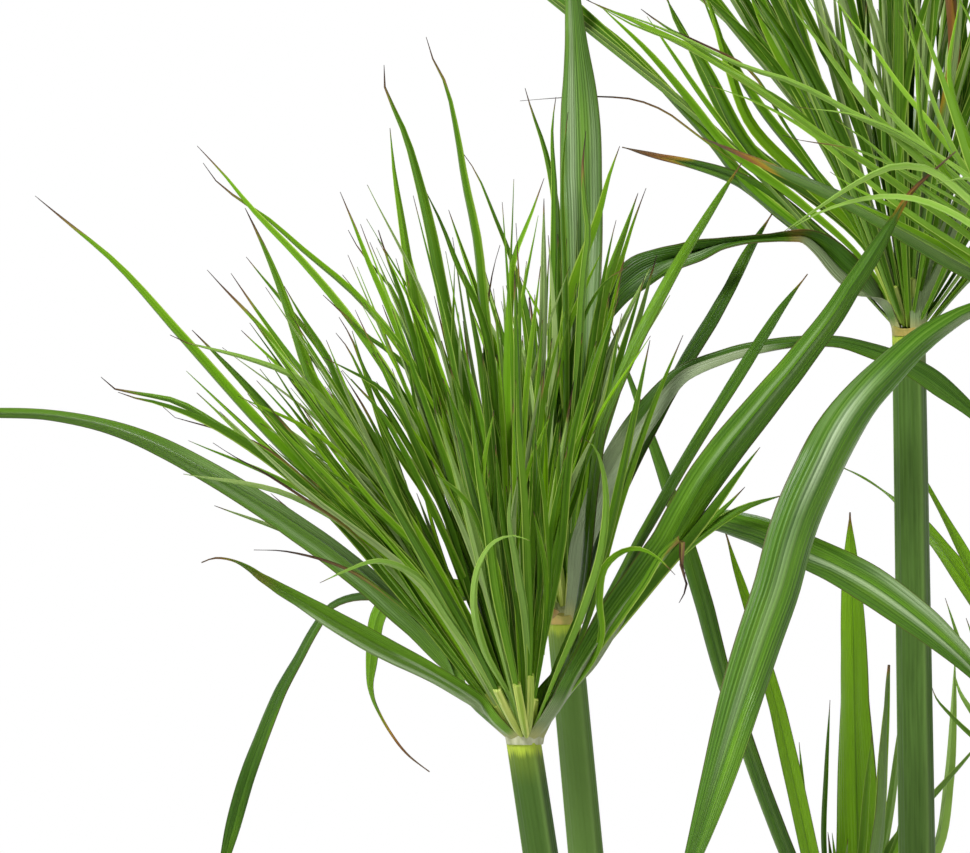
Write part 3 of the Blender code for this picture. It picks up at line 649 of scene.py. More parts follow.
# stripes of painted sheen, a painted highlight: which side, from where to where along the blade, how much, from where
# to where across
paintedSheenStripes = {"a_left_arch": (("right", 0.12, 0.62, 0.3, 0.35, 0.95), ("left", 0.15, 0.6, 0.2, 0.55, 0.8)),
              "a_short_left": (("right", -0.1, 0.45, 1.0, 0.0, 0.15), ("left", 0.1, 0.75, 0.6, 0.7, 1.0)),
              "a_big_right": (("left", 0.40, 0.80, 0.25, 0.25, 0.5), ("right", 0.45, 0.80, 0.3, 0.15, 0.4)),
              "a_right_arch": (("left", 0.62, 1.1, 0.5, 0.45, 0.9), ("right", 0.5, 1.1, 0.8, 0.12, 0.28)),
              "b_upright": (("left", 0.3, 0.95, 0.4, 0.15, 0.6), ("right", 0.3, 0.8, 0.25, 0.5, 0.85)),
              "c_kinked": (("left", 0.42, 0.80, 0.3, 0.3, 0.65),),
              "b_right_arch": (("right", 0.0, 0.5, 0.5, 0.05, 1.0), ("left", 0.0, 0.3, 0.3, 0.05, 1.0)),
              "d_long_arch": (("right", 0.38, 0.62, 0.8, 0.14, 0.38), ("right", 0.50, 0.9, 0.3, 0.14, 0.32),
                              ("right", 0.36, 0.55, 0.3, 0.70, 0.85), ("left", 0.38, 0.60, 0.45, 0.60, 0.75))}
# painted reflection: b_upright is painted a little paler grey-green, as if its face caught the light
bractPaintedSheen = {"b_upright": 0.1}
# tone of each blade; g_upright and g_left are painted lighter to make up for the weak light on them, which is painted
# light
bractTone = {"g_upright": 1.0, "g_left": 1.0, "g_long_left": 0.5, "d_long_arch": 0.45, "a_right_arch": 0.45,
             "a_big_right": 0.5, "c_kinked": 0.1, "b_upright": 0.45, "a_left_arch": 0.6, "b_left_droop": 0.05,
             "a_short_left": 0.64, "c_brown_tip": 0.3, "b_small_droop": 0.7, "b_right_arch": 0.15}
bractHair = {"b_small_droop": 0.45, "a_short_left": 0.80, "a_big_right": 0.87, "c_brown_tip": 0.84,
             "f_rear_blade": 0.78}  # thin from here on
bractFold = {"g_upright": 0.08, "d_long_arch": 0.36, "a_big_right": 0.34, "a_left_arch": 0.30, "c_upright": 0.32}
# brown creases: how far along the blade, how long, how strong
bractScar = {"c_kinked": (0.335, 0.018, 0.5), "a_short_left": (0.84, 0.04, 0.35), "b_left_droop": (0.03, 0.03, 1.0), "b_small_droop": (0.03, 0.04, 1.0)}


# how far a blade is turned about its own length, in degrees, at equal steps from root to tip
bractRoll = {"a_left_arch": (0, -30, -34, -30, -20), "a_short_left": (0, 38, 46, 40), "a_big_right": (-10, -72, -105, -118, -118),
             "a_right_arch": (0, -15, -40, -50, -48), "a_mid_right": (0, 30, 40), "a_narrow_right": (0, -20, -30),
             "b_right_arch": (0, 0, -10, -25, -35), "b_left_droop": (0, 50, 70, 60), "b_upright": (0, 10, 0, -10),
             "c_kinked": (0, 48, 52, 40, 30), "c_brown_tip": (0, 40, 50), "c_upright": (0, -12, -20),
             "g_long_left": (0, 60, 75, 70), "g_left": (0, 40, 50), "f_left_blade": (0, 40, 50)}


bladeAttributes = ("under", "tone", "dry", "pale", "scar", "paintedSheen")


def bractWidth(t, width):
    root = bractShape["rootWidth"] / width
    spread = mix(root, 1.0, smoothStep(t / bractShape["spreadAt"]))
    past = np.clip(t - bractShape["taperFrom"], 0, 1) / (1 - bractShape["taperFrom"])
    return np.maximum(width * spread * (1 - past ** 1.5), bractShape["tipWidth"])


# What the view shows of a blade: pixel of its crease, then how far it reaches to the left and to the right of its
# own heading, in pixels. "edges" says for each side whether it lies behind the crease (1) or before it (-1).
seenBracts = {
    "a_left_arch": {"edges": (1, 1), "rows": (
        (460, 668, 13, 9), (420, 625, 15, 9), (380, 587, 17, 9), (340, 555, 17, 9), (300, 527, 16, 9), (260, 501, 14, 9),
        (200, 467, 11, 10), (160, 446, 10, 9), (100, 424, 7, 6), (40, 414, 5, 5), (0, 413, 5, 5))},
    "a_short_left": {"edges": (1, 1), "rows": (
        (480, 703, 7, 8), (440, 678, 8, 9), (400, 657, 10, 11), (360, 635, 11, 11), (320, 612, 9, 9), (300, 600, 7, 7),
        (280, 589, 6, 6), (260, 577, 4, 4), (245, 566, 2.2, 2.2), (235, 561, 1, 1), (222, 558, 0.8, 0.8),
        (210, 558, 0.7, 0.7), (200, 564, 0.5, 0.5))},
    "a_big_right": {"edges": (1, 1), "rows": (
        (565, 690, 10, 11), (590, 655, 14, 11), (615, 618, 18, 9), (640, 586, 20, 8), (670, 545, 20, 11),
        (705, 480, 19, 17), (730, 445, 18, 17), (760, 408, 16, 16), (790, 372, 14, 14), (820, 333, 12, 12),
        (850, 288, 10, 10), (878, 246, 8, 8), (897, 215, 3.5, 3.5), (908, 195, 2.4, 2.4), (925, 178, 1.6, 1.6),
        (958, 150, 0.8, 0.8))},
    "a_right_arch": {"edges": (1, 1), "rows": (
        (700, 521, 9, 9), (740, 526, 13, 13), (780, 540, 16, 16), (830, 562, 17, 18), (870, 583, 18, 21),
        (900, 604, 17, 23), (930, 628, 17, 22), (960, 655, 17, 20))},
    "a_mid_right": {"edges": (1, -1), "rows": (
        (600, 615, 4, 4), (640, 540, 5, 5), (680, 470, 5.5, 5.5), (720, 405, 5.5, 5.5), (760, 341, 5.5, 5.5),
        (780, 310, 4, 4), (795, 290, 2.4, 2.4), (808, 274, 0.6, 0.6))},
    "a_narrow_right": {"edges": (1, -1), "rows": (
        (566, 665, 4, 4), (579, 615, 4, 4), (586, 570, 4.5, 4.5), (592, 500, 5, 5), (602, 425, 5, 5), (620, 380, 5.5, 5.5), (640, 335, 6, 6), (680, 260, 5.5, 5.5), (700, 228, 4.5, 4.5),
        (725, 188, 2.6, 2.6), (742, 163, 0.6, 0.6))},
    "b_right_arch": {"edges": (1, -1), "rows": (
        (565, 605, 7, 6), (572, 570, 10, 9), (589, 525, 12, 12), (605, 482, 14, 14), (625, 447, 15, 15),
        (650, 410, 13, 13), (680, 372, 6, 11), (720, 357, 6, 8), (760, 347, 6, 6), (800, 342, 6, 4), (840, 342, 6, 5),
        (870, 350, 7, 8), (900, 362, 9, 9), (940, 386, 13, 14), (968, 408, 13, 14))},
    "b_upright": {"edges": (-1, -1), "rows": (
        (573, 560, 10, 10), (576, 480, 14, 14), (579, 380, 18, 18), (580, 300, 19, 20), (580, 180, 20, 22),
        (579, 130, 19, 22), (578, 100, 17, 20), (577, 80, 14, 18), (575, 40, 10, 12), (573, 0, 8, 8))},
    "b_left_droop": {"edges": (-1, 1), "rows": (
        (380, 597, 4, 4), (345, 600, 3, 3), (328, 609, 2.5, 2.5), (320, 622, 4, 4), (300, 657, 4.5, 4.5),
        (280, 692, 6, 6), (260, 742, 7, 7), (245, 783, 8, 8), (232, 830, 8, 8))},
    "b_small_droop": {"edges": (-1, 1), "rows": (
        (380, 612, 8, 8), (374, 640, 7, 7), (371, 665, 6, 5), (370, 685, 3, 3), (373, 700, 1.5, 1.5), (380, 715, 1, 1),
        (392, 735, 1, 1), (410, 757, 0.8, 0.8), (430, 772, 0.6, 0.6))},
    "b_back_right": {"edges": (1, -1), "rows": (
        (640, 450, 6, 6), (665, 400, 7, 7), (690, 355, 7, 7), (712, 320, 7, 7), (730, 288, 6, 6), (748, 252, 5, 5),
        (772, 214, 0.8, 0.8))},
    "c_kinked": {"edges": (-1, -1), "rows": (
        (870, 298, 11, 16), (850, 277, 11, 18), (830, 257, 10, 18), (815, 243, 8, 13), (803, 236, 6, 7), (790, 236, 6, 5),
        (770, 238, 4, 4), (745, 240, 4, 4), (720, 244, 6, 6), (700, 250, 11, 11), (680, 256, 12, 12), (660, 262, 14, 14),
        (640, 272, 17, 18), (620, 288, 20, 19), (605, 310, 17, 17), (590, 335, 13, 13))},
    "c_brown_tip": {"edges": (1, -1), "rows": (
        (870, 285, 8, 8), (820, 240, 10, 10), (780, 207, 11, 11), (760, 192, 9, 9), (740, 180, 7, 7), (720, 172, 6, 6),
        (700, 166, 5, 5), (680, 161, 4, 4), (660, 157, 3, 3), (640, 152, 2, 2), (622, 147, 0.6, 0.6))},
    "c_upright": {"edges": (1, 1), "rows": (
        (920, 303, 10, 10), (930, 283, 11, 11), (941, 258, 11, 11), (950, 235, 11, 11))},
    "d_long_arch": {"edges": (1, 1), "rows": (
        (967, 311, 3, 3), (950, 323, 5, 10), (930, 336, 8, 14), (910, 354, 10, 17), (888, 377, 13, 21),
        (867, 400, 13, 24), (853, 419, 15, 27), (840, 441, 16, 30), (820, 482, 16, 31), (806, 513, 16, 31), (795, 545, 16, 31),
        (783, 590, 17, 30), (765, 640, 17, 29), (748, 690, 17, 27), (733, 735, 17, 25), (715, 790, 15, 21),
        (697, 845, 12, 17))},
    "g_upright": {"edges": (1, -1), "rows": (
        (858, 853, 22, 22), (857, 800, 20, 21), (856, 740, 17, 17), (855, 700, 14, 14), (854, 650, 13, 13),
        (852, 600, 11, 11), (851, 560, 8, 7), (850, 530, 4, 4), (850, 512, 0.8, 0.8))},
    "g_long_left": {"edges": (1, -1), "rows": (
        (782, 840, 8, 8), (763, 790, 8, 8), (744, 735, 8, 8), (722, 672, 8, 8), (706, 610, 9, 9), (691, 560, 9, 9),
        (672, 500, 7, 7))},
    "g_left": {"edges": (1, -1), "rows": (
        (808, 845, 9, 9), (795, 785, 9, 9), (778, 710, 8, 8), (765, 665, 7, 7), (748, 605, 5, 5), (735, 565, 4, 4),
        (725, 530, 2, 2))},
}


def showAsSeen(points, rows, edges, line, side, width, template):
    across, t, up = template["points"].T
    fine = np.linspace(0, 1, 241)
    known = np.linspace(0, 1, len(line))
    path = np.stack([np.interp(fine, known, line[:, k]) for k in range(3)], axis=1)
    flat = toView(path)
    rows = np.array(rows, dtype=float)
    at = np.array([np.argmin(np.hypot(*(flat - row[:2]).T)) for row in rows])
    reach = (path[:, 1] - cameraValues["y"]) / cameraValues["focalPixels"]
    halfNow = bractWidth(fine, width) / 2
    order = np.argsort(at, kind="stable")
    rows, at = rows[order], at[order]
    shift = rows[:, :2] - flat[at]
    shares = np.clip(rows[:, 2:] * reach[at][:, None] / halfNow[at][:, None], 0.08, 1.5)
    table = np.concatenate([shift, shares], axis=1)
    knots = np.concatenate([[0.0], fine[at]])
    table = np.concatenate([[[0, 0, shares[0, 0], shares[0, 1]]], table])
    kernel = np.hanning(13)[1:-1]
    kernel /= kernel.sum()
    smooth = []
    for k in range(4):
        values = np.interp(fine, knots, table[:, k])
        smooth.append(np.convolve(np.pad(values, 5, mode="edge"), kernel, mode="valid"))
    smooth = np.stack(smooth, axis=1)
    flat = flat + smooth[:, :2]
    heading = unit(np.gradient(flat, axis=0))
    leftHand = np.stack([heading[:, 1], -heading[:, 0]], axis=1)
    sideFlat = np.array([side[:, 0], -side[:, 2]]).T
    plus = np.sign(np.mean(np.sum(sideFlat * np.stack([np.interp(t, fine, leftHand[:, k]) for k in range(2)], axis=1), axis=1)
                           * (t > 0.1) * (t < 0.4)))
    plus = plus if plus else 1.0
    walls = []
    for share, edge, hand in ((smooth[:, 2], edges[0], 1), (smooth[:, 3], edges[1], -1)):
        apparent = share * halfNow
        behind = edge * np.sqrt(np.maximum(halfNow ** 2 - apparent ** 2, 0))
        pixel = flat + leftHand * (hand * apparent / reach)[:, None]
        depth = path[:, 1] + behind
        scale = (depth - cameraValues["y"]) / cameraValues["focalPixels"]
        walls.append(np.stack([cameraValues["x"] + (pixel[:, 0] - cameraValues["widthPixels"] / 2) * scale, depth,
                               cameraValues["z"] - (pixel[:, 1] - cameraValues["heightPixels"] / 2) * scale], axis=1))
    centre = np.stack([cameraValues["x"] + (flat[:, 0] - cameraValues["widthPixels"] / 2) * reach, path[:, 1],
                       cameraValues["z"] - (flat[:, 1] - cameraValues["heightPixels"] / 2) * reach], axis=1)
    along = unit(np.gradient(centre, axis=0))

    def atT(values):
        return np.stack([np.interp(t, fine, values[:, k]) for k in range(3)], axis=1)

    middle, onLeft, onRight, forward = atT(centre), atT(walls[0]), atT(walls[1]), atT(along)
    isLeft = (across * plus > 0)[:, None]
    edgePlace = np.where(isLeft, onLeft, onRight)
    sign = np.where(across >= 0, 1.0, -1.0)[:, None]
    outward = unit(edgePlace - middle) * sign
    chord = unit(np.where(plus > 0, onLeft - onRight, onRight - onLeft))
    blend = smoothStep(np.abs(across) / 0.3)[:, None]
    facing = unit(np.cross(unit(outward * blend + chord * (1 - blend)), forward))
    halfHere = np.interp(t, fine, halfNow)
    rise = bractShape["arch"] * np.sin(math.pi * np.abs(across)) * halfHere
    thick = mix(bractShape["keel"], bractShape["margin"], np.abs(across) ** 0.8) * mix(1.0, 0.6, t) / 2
    seen = middle + (edgePlace - middle) * np.abs(across)[:, None] + facing * (rise + up * thick)[:, None]
    share = smoothStep((t - 0.05) / 0.10)[:, None]
    return mix(points, seen, share), isLeft[:, 0]


def layBract(name, head, at, length, width, directions, seed):
    rng = np.random.default_rng(seed)
    turn = math.radians(at)
    outward = np.array([math.cos(turn), math.sin(turn), 0])
    level = np.cross(outward, (0, 0, 1))
    start = np.array(head["top"]) + (0, 0, 0.0003 + bractShape["rootHeight"]) + outward * bractShape["rootRadius"]
    steps = 88
    middles = (np.arange(steps) + 0.5) / steps
    line = np.vstack([start, start + np.cumsum(directionAt(directions, middles) * (length / steps), axis=0)])
    across, t, up = bractTemplate["points"].T
    knots = np.linspace(0, 1, steps + 1)
    place = np.stack([np.interp(t, knots, line[:, k]) for k in range(3)], axis=1)
    along = directionAt(directions, t)
    side = unit(level - along * (along @ level)[:, None])
    face = np.cross(side, along)
    turns = np.radians(bractRoll.get(name, tuple(rng.normal(0, 10, 3))))
    roll = smoothLine(np.stack([np.linspace(0, 1, len(turns)), turns], axis=1), t)[:, 1:] if len(turns) > 2 else turns[0]
    side, face = side * np.cos(roll) + face * np.sin(roll), face * np.cos(roll) - side * np.sin(roll)
    half = bractWidth(t, width) / 2
    if name in bractHair:
        half = np.minimum(half, mix(half, 0.00035, smoothStep((t - bractHair[name] + 0.06) / 0.14)))
    # the root wraps round the crown, then the blade opens into a folded gutter that flattens to the tip
    wrap = 1 - smoothStep(t / 0.10)
    foldNow = bractFold.get(name, bractShape["fold"]) * (1 + 0.35 * np.sin(2.2 * math.pi * t + rng.uniform(0, 6))) * (1 - 0.5 * t)
    ridge = (np.sqrt(across ** 2 + 0.004) - 0.063) * 2 * foldNow * half
    bulge = -bractShape["bulge"] * np.sin(math.pi * np.abs(across)) * half * 2 * smoothStep(t / 0.2)
    hug = 4.7e-3 - np.sqrt(np.maximum(4.7e-3 ** 2 - (across * half) ** 2, 1e-9))
    lift = mix(ridge + bulge, hug, wrap)
    phase = rng.uniform(0, 6, 2)
    wave = bractShape["wave"] * across * np.sin(t * length * 190 + phase[0]) * np.sin(t * 9 + phase[1]) * smoothStep(t * 4)
    thick = mix(bractShape["keel"], bractShape["margin"], np.abs(across) ** 0.8) * mix(1.0, 0.6, t) / 2
    points = place + side * (across * half)[:, None] + face * (lift + wave + up * thick)[:, None]
    scarAt, scarSize, scarShow = bractScar.get(name, (0.0, 1.0, 0.0))
    pale, paintedSheen = np.full(len(points), bractPaintedSheen.get(name, 0.0)), np.zeros(len(points))
    if name in seenBracts:
        points, isLeft = showAsSeen(points, seenBracts[name]["rows"], seenBracts[name]["edges"], line, side, width, bractTemplate)
        for hand, begin, end, amount in paleSides.get(name, ()):
            band = smoothStep((t - begin) / 0.04) * smoothStep((end - t) / 0.06) * (isLeft == (hand == "left"))
            pale = np.maximum(pale, amount * band)
        # painted highlight: pale sheen stripes laid along the blade
        for hand, begin, end, amount, inner, outer in paintedSheenStripes.get(name, ()):
            band = smoothStep((t - begin) / 0.12) * smoothStep((end - t) / 0.12) * (isLeft == (hand == "left"))
            reach = np.abs(across)
            band = band * smoothStep((reach - inner + 0.07) / 0.14) * smoothStep((outer - reach + 0.07) / 0.14)
            paintedSheen = np.maximum(paintedSheen, amount * band)
    part = {"points": points, "faces": bractTemplate["faces"], "map": np.stack([across / 2 + 0.5, t], axis=1),
            "under": (up < 0) * bractUnder.get(name, 1.0), "tone": bractTone.get(name, rng.uniform(0, 1)),
            "dry": bractDry.get(name, 0.025), "pale": pale, "paintedSheen": paintedSheen,
            "scar": np.exp(-((t - scarAt) / scarSize) ** 2) * scarShow}
    made = buildMesh("blade_" + name, [part], [bractFinish], bladeAttributes)
    finishPiece(made, ["bract_" + name], 50)
    return made


number = 0
for key, head in heads.items():
    for part, (at, length, width, directions) in head["bracts"].items():
        number += 1
        layBract(f"{key}_{part}", head, at, length, width, directions, number)
print("bracts", number)


# stems: three-cornered, ridged, thicker at the foot
stemShape = {"footRadius": 0.0059, "topRadius": 0.0041, "cornerTurn": -62, "corner": 0.155, "flat": 0.972,
             "curve": 0.12, "sides": 60, "along": 60}
# how light each stem is painted: a darker, b lighter where it stands in the shade of a's bracts, which is painted light
# and shade
stemPaintedLight = {"a": 0.1, "b": 1.0, "c": 0.55}
stemTemplate = readTemplate(makeReed("stemTemplate", stemShape["sides"], stemShape["along"]))


def stemCentre(head, t):
    foot, top = head["foot"], head["top"]
    low = soilHeight(*foot) - potSize["planted"]
    moved = (1 - stemShape["curve"]) * t + stemShape["curve"] * t * t
    return np.stack([mix(foot[0], top[0], moved), mix(foot[1], top[1], moved), mix(low, top[2], t)], axis=-1)


def stemReach(t, turn):
    radius = mix(stemShape["footRadius"], stemShape["topRadius"], t)
    ridge = (0.5 + 0.5 * np.cos(3 * (turn - math.radians(stemShape["cornerTurn"])))) ** 7
    return radius * (stemShape["flat"] + stemShape["corner"] * ridge), ridge


for number, (key, head) in enumerate(heads.items()):
    x, t, z = stemTemplate["points"].T
    turn = np.arctan2(z, x)
    centre = np.hypot(x, z) < 0.01
    radius, ridge = stemReach(t, turn)
    radius = np.where(centre, 0, radius)
    points = stemCentre(head, t) + np.stack([radius * np.cos(turn), radius * np.sin(turn), 0 * turn], axis=1)
    height = head["top"][2] - stemCentre(head, 0.0)[2]
    part = {"points": points, "faces": [face[::-1] for face in stemTemplate["faces"]],
            "map": np.stack([turn / (2 * math.pi) + 0.5 + number, t * height * 12], axis=1),
            "fromTop": (1 - t) * height, "corner": ridge ** 3, "tone": stemPaintedLight.get(key, 0.5)}
    made = buildMesh("reed_" + key, [part], [stemGreen], ("fromTop", "corner", "tone"))
    finishPiece(made, ["stem_" + key], 35)
print("stems", len(heads))


# brown papery sheaths round the stem feet, torn along the top
sheathShape = {"height": 0.078, "slant": 0.018, "wall": 0.0007, "gap": 0.0007, "turnStep": 40}
sheathTemplate = readTemplate(makeReed("sheathTemplate", 40, 16))
for number, (key, head) in enumerate(heads.items()):
    rng = np.random.default_rng(700 + number)
    slope = math.radians(sheathShape["turnStep"] * number)
    height = head["top"][2] - stemCentre(head, 0.0)[2]
    parts = []
    for layer, (share, spread) in enumerate(((1.0, 0.0), (0.72, 0.0007), (0.5, 0.0014))):
        x, t, z = sheathTemplate["points"].T
        keep = np.hypot(x, z) > 0.01
        turn = np.arctan2(z, x)
        slant = sheathShape["slant"] * np.cos(turn - slope - layer * 2.4)
        torn = 0.0035 * np.sin(turn * 7 + layer + number) * np.sin(turn * 3 + number) * t ** 3
        top = (soilHeight(*head["foot"]) + sheathShape["height"] * share - stemCentre(head, 0.0)[2]) / height
        up = t * top + (slant * t + torn) / height
        walls = []
        for extra in (sheathShape["gap"] + sheathShape["wall"] + spread, sheathShape["gap"] + spread):
            radius, _ = stemReach(up, turn)
            crinkle = 0.00022 * np.sin(turn * 9 + t * 11 + layer * 2 + number) * t
            radius = radius + extra + crinkle + 0.0011 * t ** 6 * (layer + 0.4)
            walls.append(stemCentre(head, up) + np.stack([radius * np.cos(turn), radius * np.sin(turn), 0 * turn], axis=1))
        order = {index: i for i, index in enumerate(np.flatnonzero(keep))}
        sides = [face for face in sheathTemplate["faces"] if all(keep[i] for i in face)]
        count = len(order)
        outer = [tuple(order[i] for i in face[::-1]) for face in sides]
        inner = [tuple(order[i] + count for i in face) for face in sides]
        rims = []
        for low in (t < 0.001, t > 0.999):
            ring = sorted((index for index in order if low[index]), key=lambda index: turn[index])
            for a, b in zip(ring, ring[1:] + ring[:1]):
                quad = (order[a], order[b], order[b] + count, order[a] + count)
                rims.append(quad if low is not None and t[a] > 0.5 else quad[::-1])
        where = np.flatnonzero(keep)
        parts.append({"points": np.concatenate([walls[0][where], walls[1][where]]), "faces": outer + inner + rims,
                      "map": np.tile(np.stack([turn / (2 * math.pi) + layer, t + number * 2], axis=1)[where], (2, 1)),
                      "tone": rng.uniform(0, 1)})
    made = buildMesh("husk_" + key, parts, [sheathBrown], ("tone",))
    deselectAll()
    made.select_set(True)
    bpy.context.view_layer.objects.active = made
    bpy.ops.object.mode_set(mode="EDIT")
    bpy.ops.mesh.select_all(action="SELECT")
    bpy.ops.mesh.normals_make_consistent(inside=False)
    bpy.ops.object.mode_set(mode="OBJECT")
    finishPiece(made, ["sheath_" + key], 50)
print("sheaths", len(heads))


# pale collar of grown-together bract bases on each crown
collarShape = {"low": -0.0006, "high": 0.0022, "lowRadius": 0.0045, "highRadius": 0.0050, "wall": 0.0006}
deselectAll()
bpy.ops.mesh.primitive_cylinder_add(vertices=36, radius=collarShape["lowRadius"], end_fill_type="NOTHING",
                                    depth=collarShape["high"] - collarShape["low"],
                                    location=(0, 0, (collarShape["high"] + collarShape["low"]) / 2))
collar = bpy.context.object
applyPlace(collar)
pickParts(collar, "VERT", lambda vert: vert.co.z > 0)
flare = collarShape["highRadius"] / collarShape["lowRadius"]
bpy.ops.transform.resize(value=(flare, flare, 1), center_override=(0, 0, 0))
pickParts(collar, "EDGE", lambda edge: abs(collar.data.vertices[edge.vertices[0]].co.z
                                           - collar.data.vertices[edge.vertices[1]].co.z) > 0.0015)
bpy.ops.mesh.subdivide(number_cuts=4)
bpy.ops.object.mode_set(mode="OBJECT")
wall = collar.modifiers.new("wall", "SOLIDIFY")
wall.thickness = collarShape["wall"]
wall.offset = -1
rounding = collar.modifiers.new("rounding", "BEVEL")
rounding.width = 0.0002
rounding.segments = 2
applyModifiers(collar)
collarTemplate = readTemplate(collar)
for number, (key, head) in enumerate(heads.items()):
    points = collarTemplate["points"].copy()
    turn = np.arctan2(points[:, 1], points[:, 0])
    rise = smoothStep((points[:, 2] - collarShape["low"]) / 0.004)
    lobes = sum(np.exp(-((np.abs((np.degrees(turn) - bract[0] + 180) % 360 - 180)) / 26) ** 2)
                for bract in head["bracts"].values())
    points[:, 2] += rise * (0.0012 * np.minimum(lobes, 1.2) - 0.0012)
    points[:, :2] *= (1 + 0.05 * np.sin(turn * 3 + number) * rise)[:, None]
    points += np.array(head["top"])
    part = {"points": points, "faces": collarTemplate["faces"],
            "map": np.stack([turn / (2 * math.pi) + number, rise], axis=1), "tone": number * 0.13}
    made = buildMesh("collar_" + key, [part], [collarPale if key in "adg" else collarWarm], ("tone",))
    finishPiece(made, (), 40)
print("collars", len(heads))


# rays: thin folded blades in dense fans, joined into one mesh for each crown
rayShape = {"fold": 0.5, "hair": 0.00016, "keel": 0.00035, "stalkRadius": 0.00075, "crownRadius": 0.0034}
rayFans = {
    "a": [{"count": 56, "length": (0.085, 0.130), "outer": 41, "lean": (-9, -4), "width": (0.0019, 0.0030), "sides": 2},
          {"count": 26, "length": (0.090, 0.128), "outer": 13, "lean": (-33, -8), "width": (0.0015, 0.0024), "sides": 2},
          {"count": 18, "length": (0.105, 0.140), "outer": 13, "lean": (-9, 2), "width": (0.0012, 0.0022), "sides": 2}],
    "b": [{"count": 24, "length": (0.070, 0.108), "outer": 18, "lean": (-1, 2), "width": (0.0022, 0.0032), "sides": 1}],
    "c": [{"count": 54, "length": (0.125, 0.178), "outer": 48, "lean": (3, -2), "width": (0.0020, 0.0033), "sides": 3,
           "tone": (0.0, 0.6)},
          {"count": 12, "length": (0.100, 0.150), "outer": 10, "lean": (-30, 4), "width": (0.0020, 0.0030), "sides": 1, "tone": (0.0, 0.5)}],
    "d": [{"count": 40, "length": (0.060, 0.088), "outer": 36, "lean": (6, -4), "width": (0.0015, 0.0024), "sides": 2, "tone": (0.4, 1.0)}],
    "e": [{"count": 58, "length": (0.110, 0.155), "outer": 46, "lean": (9, 7), "width": (0.0018, 0.0028), "sides": 3}],
    "f": [{"count": 34, "length": (0.040, 0.060), "outer": 34, "lean": (5, 6), "width": (0.0014, 0.0022), "sides": 1}],
    "g": [{"count": 9, "length": (0.026, 0.044), "outer": 12, "lean": (0, 10), "width": (0.0018, 0.0026), "sides": 0}],
}
# Places in the view that a fan leaves free
clearPlaces = {"a": ((556, 560, 602, 640), (646, 120, 780, 400), (444, 540, 460, 580)), "c": ((846, 240, 868, 262),)}
